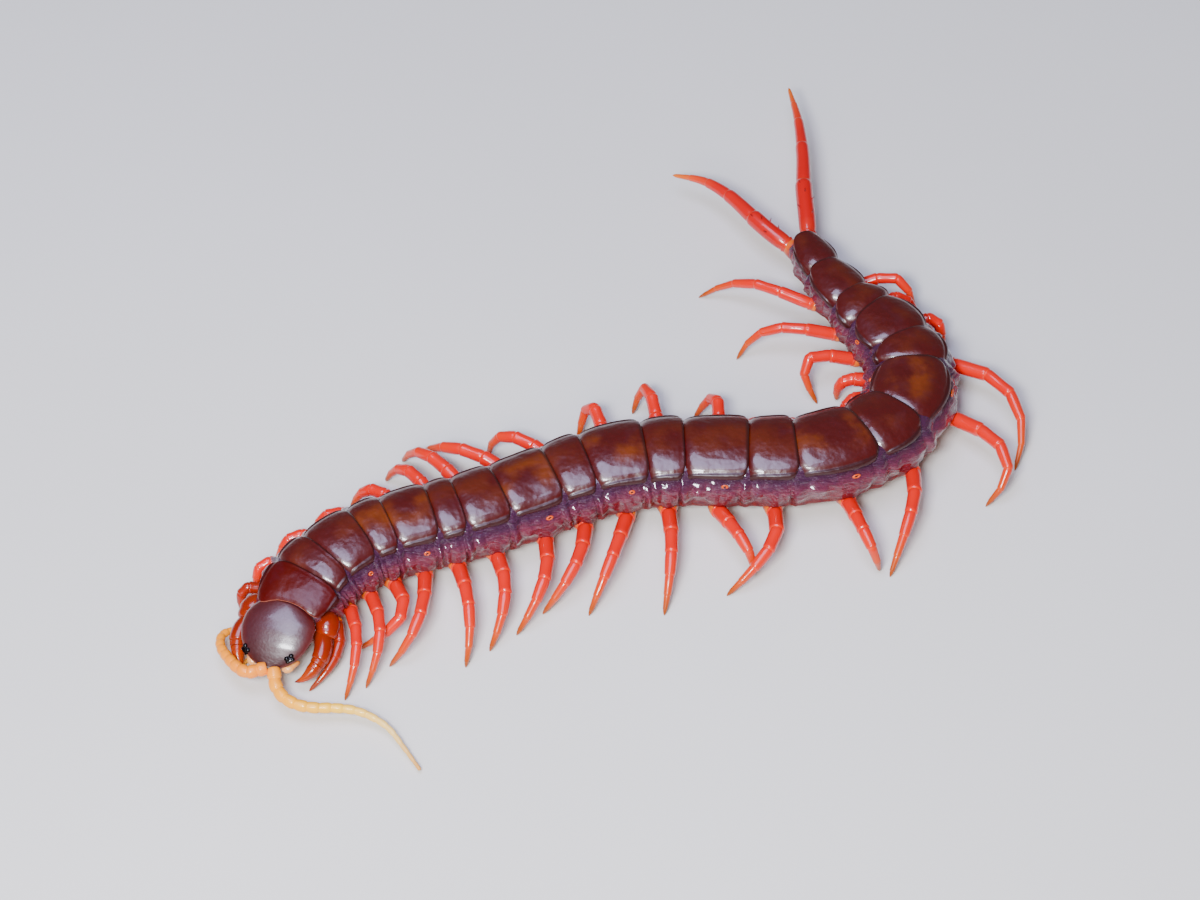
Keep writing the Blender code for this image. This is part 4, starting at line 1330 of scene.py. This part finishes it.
def make_head():
    turns = [math.pi / 2 * k / HEAD_RINGS for k in range(HEAD_RINGS + 1)]
    places = sorted(HEAD_LENGTH - HEAD_LENGTH * (1 - math.cos(turn)) for turn in turns)
    stations = [(-place, head_value(place, 1), -head_value(place, 2), head_value(place, 3))
                for place in places]
    piece = grow("head", HEAD_OUTLINE, stations)
    apply(piece, "SUBSURF", levels=2, render_levels=2)
    mark(piece, lambda p: (-p.x / HEAD_LENGTH, p.y / head_value(-p.x, 1)))
    bend_to_body(piece, 0.0)
    smooth(piece, 60)
    return keep(piece, "head_shield", head_material, "head", ["head"])


head = make_head()
print("head", len(head.data.polygons), "faces")

# %% [markdown]
# ## Eyes
#
# Four black beads sit in a tight cluster on each side of the shield's front edge. A flat black
# bead between them closes the gaps.

# %% Eyes
# Each bead: place ahead of the neck, place out, radius and height share. The first is the base.
EYE_BEADS = [(9.2, 3.35, 0.66, 0.3), (8.75, 3.55, 0.4, 0.85), (9.2, 3.85, 0.36, 0.85),
             (9.35, 2.95, 0.4, 0.85), (9.75, 3.2, 0.34, 0.85)]
EYE_RISE, BEAD_WIDER = 0.02, 1.05
EYE_SPREAD = {"left": 0.0, "right": 0.7}


def make_eyes(side):
    hand = HANDS[side]
    beads = []
    for place, out, radius, tall in EYE_BEADS:
        centre = head_surface(place, side * (out + EYE_SPREAD[hand]))
        bpy.ops.mesh.primitive_uv_sphere_add(
            segments=24, ring_count=16, radius=radius * MM,
            location=(centre + Vector((0, 0, EYE_RISE))) * MM)
        bead_piece = start("bead")
        scale(BEAD_WIDER, BEAD_WIDER, tall, centre)
        done()
        beads.append(bead_piece)
    eyes = joined("eyes", beads)
    bend_to_body(eyes, 0.0)
    smooth(eyes, 80)
    keep(eyes, f"eyes_{hand}", bead_material, "eye", [f"eye_{hand}"])


for side in HANDS:
    make_eyes(side)
print("eyes of", len(EYE_BEADS) - 1, "beads each, on a flat one")

# %% [markdown]
# ## Antennae
#
# Each antenna has seventeen short articles, fat at the base and thin at the tip, with a waist
# between each two.

# %% Antennae
ANTENNA_LINES = {
    "left": [(11.3, 1.6, 4.7), (12.5, 2.2, 4.3), (14.0, 3.9, 3.9), (14.6, 6.4, 3.5),
             (14.2, 9.3, 3.2), (13.3, 12.1, 3.0), (12.7, 15.1, 2.8), (12.8, 18.1, 2.4),
             (13.9, 21.5, 1.9), (16.5, 24.9, 1.4), (19.6, 28.6, 0.9)],
    "right": [(11.0, -1.4, 5.1), (11.7, -2.8, 5.0), (11.2, -4.6, 4.8), (9.6, -6.8, 4.4),
              (7.3, -9.0, 3.7), (4.8, -9.9, 3.0), (2.8, -9.2, 2.2), (2.2, -7.4, 1.4),
              (3.2, -5.4, 1.0), (5.2, -4.6, 0.9), (7.0, -5.2, 0.8), (7.8, -6.8, 0.8)],
}
ANTENNA_RADII = [(0, 1.2), (0.25, 1.0), (0.5, 0.78), (0.75, 0.5), (1, 0.3)]
ANTENNA_ARTICLES = 17
ANTENNA_FORM = ((0.0, 0.8), (0.12, 0.9), (0.4, 0.99), (0.75, 1.04), (0.93, 0.98))
ANTENNA_TIP = [(0.994, 0.22), (1.0, 0.1)]
SOCKET_LENGTH = 1.6


def head_place(ahead_by, out, height):
    """A point from the neck in the head's level directions."""
    heading = math.radians(HEAD_HEADING)
    ahead = Vector((-math.cos(heading), -math.sin(heading), 0.0))
    left = Vector((math.sin(heading), -math.cos(heading), 0.0))
    point = Vector((*NECK, 0.0)) + ahead * ahead_by + left * out
    point.z = height
    return point


def head_line(points, spread=1.0):
    """A smooth line beside the head. A spread of -1 mirrors it."""
    return smooth_line([head_place(ahead, spread * out, height) for ahead, out, height in points])


antenna_joints = [k / ANTENNA_ARTICLES for k in range(ANTENNA_ARTICLES + 1)]
antenna_form = articled(antenna_joints, ANTENNA_RADII, ANTENNA_FORM) + ANTENNA_TIP
antenna_pattern = limb_pattern("antenna_pattern", antenna_form, 16)


def make_antenna(side):
    hand = HANDS[side]
    line = sunk(head_line(ANTENNA_LINES[hand]), SOCKET_LENGTH)
    antenna = lay(copy_of(antenna_pattern, "antenna"), line)
    finish = antenna_material if side > 0 else loop_material
    keep(antenna, f"feeler_{hand}", finish, "antenna", [f"antenna_{hand}"])
    return round(length_of(line), 1)


print("antennae", [make_antenna(side) for side in HANDS], "mm long")
bpy.data.objects.remove(antenna_pattern)

# %% [markdown]
# ## Poison claws
#
# Below the head a broad plate carries two fangs, which are the first legs turned into claws.
# Each has a stout first article, two narrow rings and a long curved tip that darkens to black.

# %% Poison claws
CLAW_LINE = [(0.9, 5.6, 4.7), (2.8, 7.0, 4.75), (5.2, 7.3, 4.2), (7.4, 6.6, 3.3), (9.0, 5.5, 2.7),
             (9.6, 4.2, 2.1)]
CLAW_SPREAD = {1: 1.0, -1: -0.93}
CLAW_RADII = [(0, 1.3), (0.2, 1.65), (0.5, 1.38), (0.68, 1.0), (0.85, 0.6), (1, 0.25)]
CLAW_JOINTS = (0.0, 0.5, 0.57, 0.64)
FANG_FORM = [(0.64, 1.08), (0.66, 1.16), (0.72, 1.0), (0.8, 0.76), (0.88, 0.5), (0.95, 0.28),
             (1.0, 0.05)]
claw_stations = articled(CLAW_JOINTS, CLAW_RADII, ARTICLE_FORM) + FANG_FORM
claw_pattern = limb_pattern("claw_pattern", claw_stations, 20)
for side, hand in HANDS.items():
    claw = lay(copy_of(claw_pattern, "claw"), head_line(CLAW_LINE, CLAW_SPREAD[side]))
    keep(claw, f"fang_{hand}", claw_material, "claw", [f"forcipule_{hand}"])
bpy.data.objects.remove(claw_pattern)
print("fangs", round(length_of(head_line(CLAW_LINE)), 1), "mm long")

# %% [markdown]
# ## The plate that carries the fangs
#
# A broad plate closes the underside behind the mouth. A swollen joint on each side of it carries
# a fang, and a hard orange piece fills the side of the neck between the first plate and the
# fang. They are modelled from the neck, ahead along X and left along Y, or bent along lines as
# the limbs are, and joined.

# %% Fang plate
CLAW_BASE = [(0.4, 3.0, 4.3), (1.4, 3.3, 4.8), (2.8, 3.4, 4.8), (4.0, 3.0, 4.4), (4.7, 2.2, 3.8)]
CLAW_BASE_LOW = 2.3
BASE_RING = [
    (0, 0), (0.6, 0.0), (0.9, 0.12), (1.0, 0.4), (1.0, 0.7), (0.85, 0.95), (0.5, 1.0), (0, 1.0)]


def turn_to_head(piece):
    """Turns a piece modelled ahead along X, left along Y and up from the floor to the head."""
    piece.rotation_euler.z = math.radians(180 + HEAD_HEADING)
    piece.location = (NECK[0] * MM, NECK[1] * MM, 0)
    only(piece)
    bpy.ops.object.transform_apply(location=True, rotation=True, scale=False)


def make_claw_base():
    stations = [(place, half, CLAW_BASE_LOW, CLAW_BASE_LOW - top) for place, half, top in CLAW_BASE]
    piece = grow("claw_base", BASE_RING, stations)
    apply(piece, "SUBSURF", levels=2, render_levels=2)
    mark(piece, lambda p: (p.x / 12, p.y / 4))
    turn_to_head(piece)
    smooth(piece, 60)
    return piece


claw_parts = [make_claw_base()]
print("fang plate", len(claw_parts[0].data.polygons), "faces")

# %% Fang roots and neck pieces
ROOT_START = (1.8, 2.2, 3.7)
ROOT_FORM = [(0.0, 1.2), (0.3, 1.5), (0.6, 1.55), (0.75, 1.4), (0.8, 1.1)]
PLEURITE_LINE = [(-2.4, 5.4, 5.6), (-1.0, 6.3, 5.8), (0.6, 6.8, 5.3), (1.9, 6.9, 4.8)]
PLEURITE_FORM = [(0.0, 1.0), (0.2, 1.6), (0.5, 1.8), (0.66, 1.75), (0.71, 1.55), (0.76, 1.62),
                 (0.92, 1.5), (1.0, 1.0)]
PLEURITE_WIDTH = 1.2


def make_claw_root(side):
    """The swollen joint by which a fang hangs on its plate."""
    ahead, out, height = ROOT_START
    first, second = (head_place(x, CLAW_SPREAD[side] * y, z) for x, y, z in CLAW_LINE[:2])
    line = smooth_line([head_place(ahead, side * out, height), first,
                        first + (second - first) * 0.5])
    boss = limb_pattern("boss", ROOT_FORM, 16)
    mark(boss, lambda p: (0.1, 0.0))
    return lay(boss, line)


def make_pleurite(side):
    """The hard orange piece beside the neck, between the first plate and the fang."""
    piece = limb_pattern("pleurite", PLEURITE_FORM, 18)
    mark(piece, lambda p: (0.55 * p.x, 0.0))
    return lay(piece, head_line(PLEURITE_LINE, CLAW_SPREAD[side]), PLEURITE_WIDTH)


for side in HANDS:
    claw_parts += [make_claw_root(side), make_pleurite(side)]
claw_base = joined("claw_base", claw_parts)
keep(claw_base, "claw_base", claw_material, "claw", ["forcipule_base"])
print("poison claws on", claw_base.name)

# %% [markdown]
# ## Mouth parts
#
# A jointed feeler reaches out from under the head on each side. Each grows from a pair of soft
# lobes that close the mouth from below, and two rows of blunt teeth stand on the front edge of
# the fang plate.

# %% Mouth feelers
PALP_LINE = [(6.9, 2.2, 4.4), (8.1, 2.3, 4.3), (9.0, 2.6, 4.3), (9.0, 3.2, 4.4), (8.1, 3.8, 4.6),
             (7.2, 4.4, 4.6)]
PALP_RADII = [(0, 0.6), (0.4, 0.7), (0.8, 0.52), (1, 0.28)]
PALP_JOINTS = (0.0, 0.42, 0.75, 1.0)
PALP_TIP, PALP_SINK = [(1.0, 0.08)], 0.8
palp_stations = articled(PALP_JOINTS, PALP_RADII, ANTENNA_FORM) + PALP_TIP
palp_pattern = limb_pattern("palp_pattern", palp_stations, 14)
for side, hand in HANDS.items():
    palp = lay(copy_of(palp_pattern, "palp"), sunk(head_line(PALP_LINE, side), PALP_SINK))
    keep(palp, f"mouth_feeler_{hand}", palp_material, "palp", [f"palp_{hand}"])
print("mouth feelers", round(length_of(head_line(PALP_LINE)), 1), "mm long")

# %% Mouth lobes and tooth rows
# Each lobe: place ahead, out and up, and its half length, half width and half depth.
MOUTH_LOBES = [(6.0, 0.85, 4.9, 1.2, 0.85, 1.7), (6.2, 2.2, 5.0, 1.4, 0.95, 1.6)]
LOBE_BLUNT = (0.9, 0.8, 0.7)
TEETH, TOOTH_FIRST, TOOTH_STEP, TOOTH_BACK = 4, 0.3, 0.42, 0.09
TOOTH_FRONT, TOOTH_HEIGHT, TOOTH_LENGTH = 4.9, 3.3, 1.1
TOOTH_RADIUS, TOOTH_TIP = 0.34, 0.1


def make_mouth_lobe(ahead, out, height, length, width, depth):
    """A soft lobe under the head, blunter in front, from which a mouth feeler grows."""
    centre = Vector((ahead, out, height))
    bpy.ops.mesh.primitive_uv_sphere_add(
        segments=24, ring_count=16, radius=MM, location=centre * MM)
    lobe = start("lobe")
    scale(length, width, depth, centre)
    pick(lambda p: p.x > ahead + 0.4 * length)
    scale(*LOBE_BLUNT, centre)
    done()
    mark(lobe, lambda p: (0.12, 0.0))
    return lobe


def make_tooth_row(side):
    """Four blunt dark teeth in a row on the claw plate's front edge."""
    row = []
    for number in range(TEETH):
        out = side * (TOOTH_FIRST + TOOTH_STEP * number)
        ahead = TOOTH_FRONT - TOOTH_BACK * number
        bpy.ops.mesh.primitive_cone_add(
            vertices=14, radius1=TOOTH_RADIUS * MM, radius2=TOOTH_TIP * MM, depth=TOOTH_LENGTH * MM,
            location=(ahead * MM, out * MM, TOOTH_HEIGHT * MM), rotation=(0, math.pi / 2, 0))
        tooth = start("tooth")
        scale(1, 0.8, 0.9, (ahead, out, TOOTH_HEIGHT))
        done()
        apply(tooth, "SUBSURF", levels=1, render_levels=1)
        mark(tooth, lambda p: (0.7 + 0.5 * (p.x - TOOTH_FRONT + 0.3), 0.0))
        row.append(tooth)
    return row


lobes = [make_mouth_lobe(ahead, side * out, *rest)
         for ahead, out, *rest in MOUTH_LOBES for side in HANDS]
teeth = make_tooth_row(1) + make_tooth_row(-1)
for piece, name, finish, slot in (
        (joined("mouth_lobes", lobes), "mouth_lobes", palp_material, "palp"),
        (joined("tooth_rows", teeth), "tooth_rows", claw_material, "claw")):
    turn_to_head(piece)
    smooth(piece, 60)
    keep(piece, name, finish, slot)
for pattern_piece in (palp_pattern, leg_pattern, cup_pattern):
    bpy.data.objects.remove(pattern_piece)
print("mouth lobes", 2 * len(MOUTH_LOBES), "and teeth", 2 * TEETH)

# %% [markdown]
# ## Breathing holes
#
# Some segments have a slit-shaped hole in each side with an orange rim. A squashed torus is the
# rim, and a flattened dark disc closes it as painted shade inside the hole.

# %% Breathing holes
HOLE_SEGMENTS = (3, 5, 8, 10, 12, 14, 16, 18, 20)
HOLE_SHARE, HOLE_DROP = 0.68, 0.33
HOLE_SIZE, HOLE_RIM, HOLE_SHADE_DEPTH = (0.42, 0.26), 0.13, 0.35
HOLE_INSET, HOLE_PROUD, HOLE_LEAN = 0.985, 0.12, 0.35


def make_hole(number, side):
    depth = profile(DEPTH_AT, number)
    place = JOINTS[number - 1] + HOLE_SHARE * SEGMENTS[number - 1][0]
    out = flank_half(place) * HOLE_INSET + HOLE_PROUD
    where = Vector((0.0, -side * out, -HOLE_DROP * depth))
    tilt = (math.pi / 2 - HOLE_LEAN) * side
    bpy.ops.mesh.primitive_torus_add(
        major_segments=28, minor_segments=10, major_radius=HOLE_SIZE[1] * MM,
        minor_radius=HOLE_RIM * MM, location=where * MM, rotation=(tilt, 0, 0))
    rim = start("rim")
    scale(HOLE_SIZE[0] / HOLE_SIZE[1], 1, 1, where)
    done()
    mark(rim, lambda p: (0.2, 0.0))
    rim.data.materials.append(rim_material)
    # The lens here is a flattened dark disc: painted shade inside the hole.
    bpy.ops.mesh.primitive_uv_sphere_add(
        segments=20, ring_count=10, radius=HOLE_SIZE[1] * MM,
        location=where * MM, rotation=(tilt, 0, 0))
    lens = start("lens")
    scale(HOLE_SIZE[0] / HOLE_SIZE[1], 1, 1, where)
    scale(1, HOLE_SHADE_DEPTH, 1, where)
    done()
    mark(lens, lambda p: (0.5, 0.0))
    lens.data.materials.append(hole_shade_material)
    hole = joined("hole", [rim, lens])
    bend_to_body(hole, place)
    smooth(hole, 80)
    return hole


holes = [make_hole(number, side) for number in HOLE_SEGMENTS for side in HANDS]
keep(joined("breathing_holes", holes), "breathing_holes", rim_material, "plate")
print("breathing holes", len(holes))

# %% Finish
for leftover in [o for o in bpy.data.objects if o.type == "CURVE"]:
    bpy.data.objects.remove(leftover)
visual_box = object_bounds()
grown = [round((v - c) / MM, 2) for v, c in zip(np.ravel(visual_box), np.ravel(cad_box))]
print("visual box minus CAD box, mm", grown)
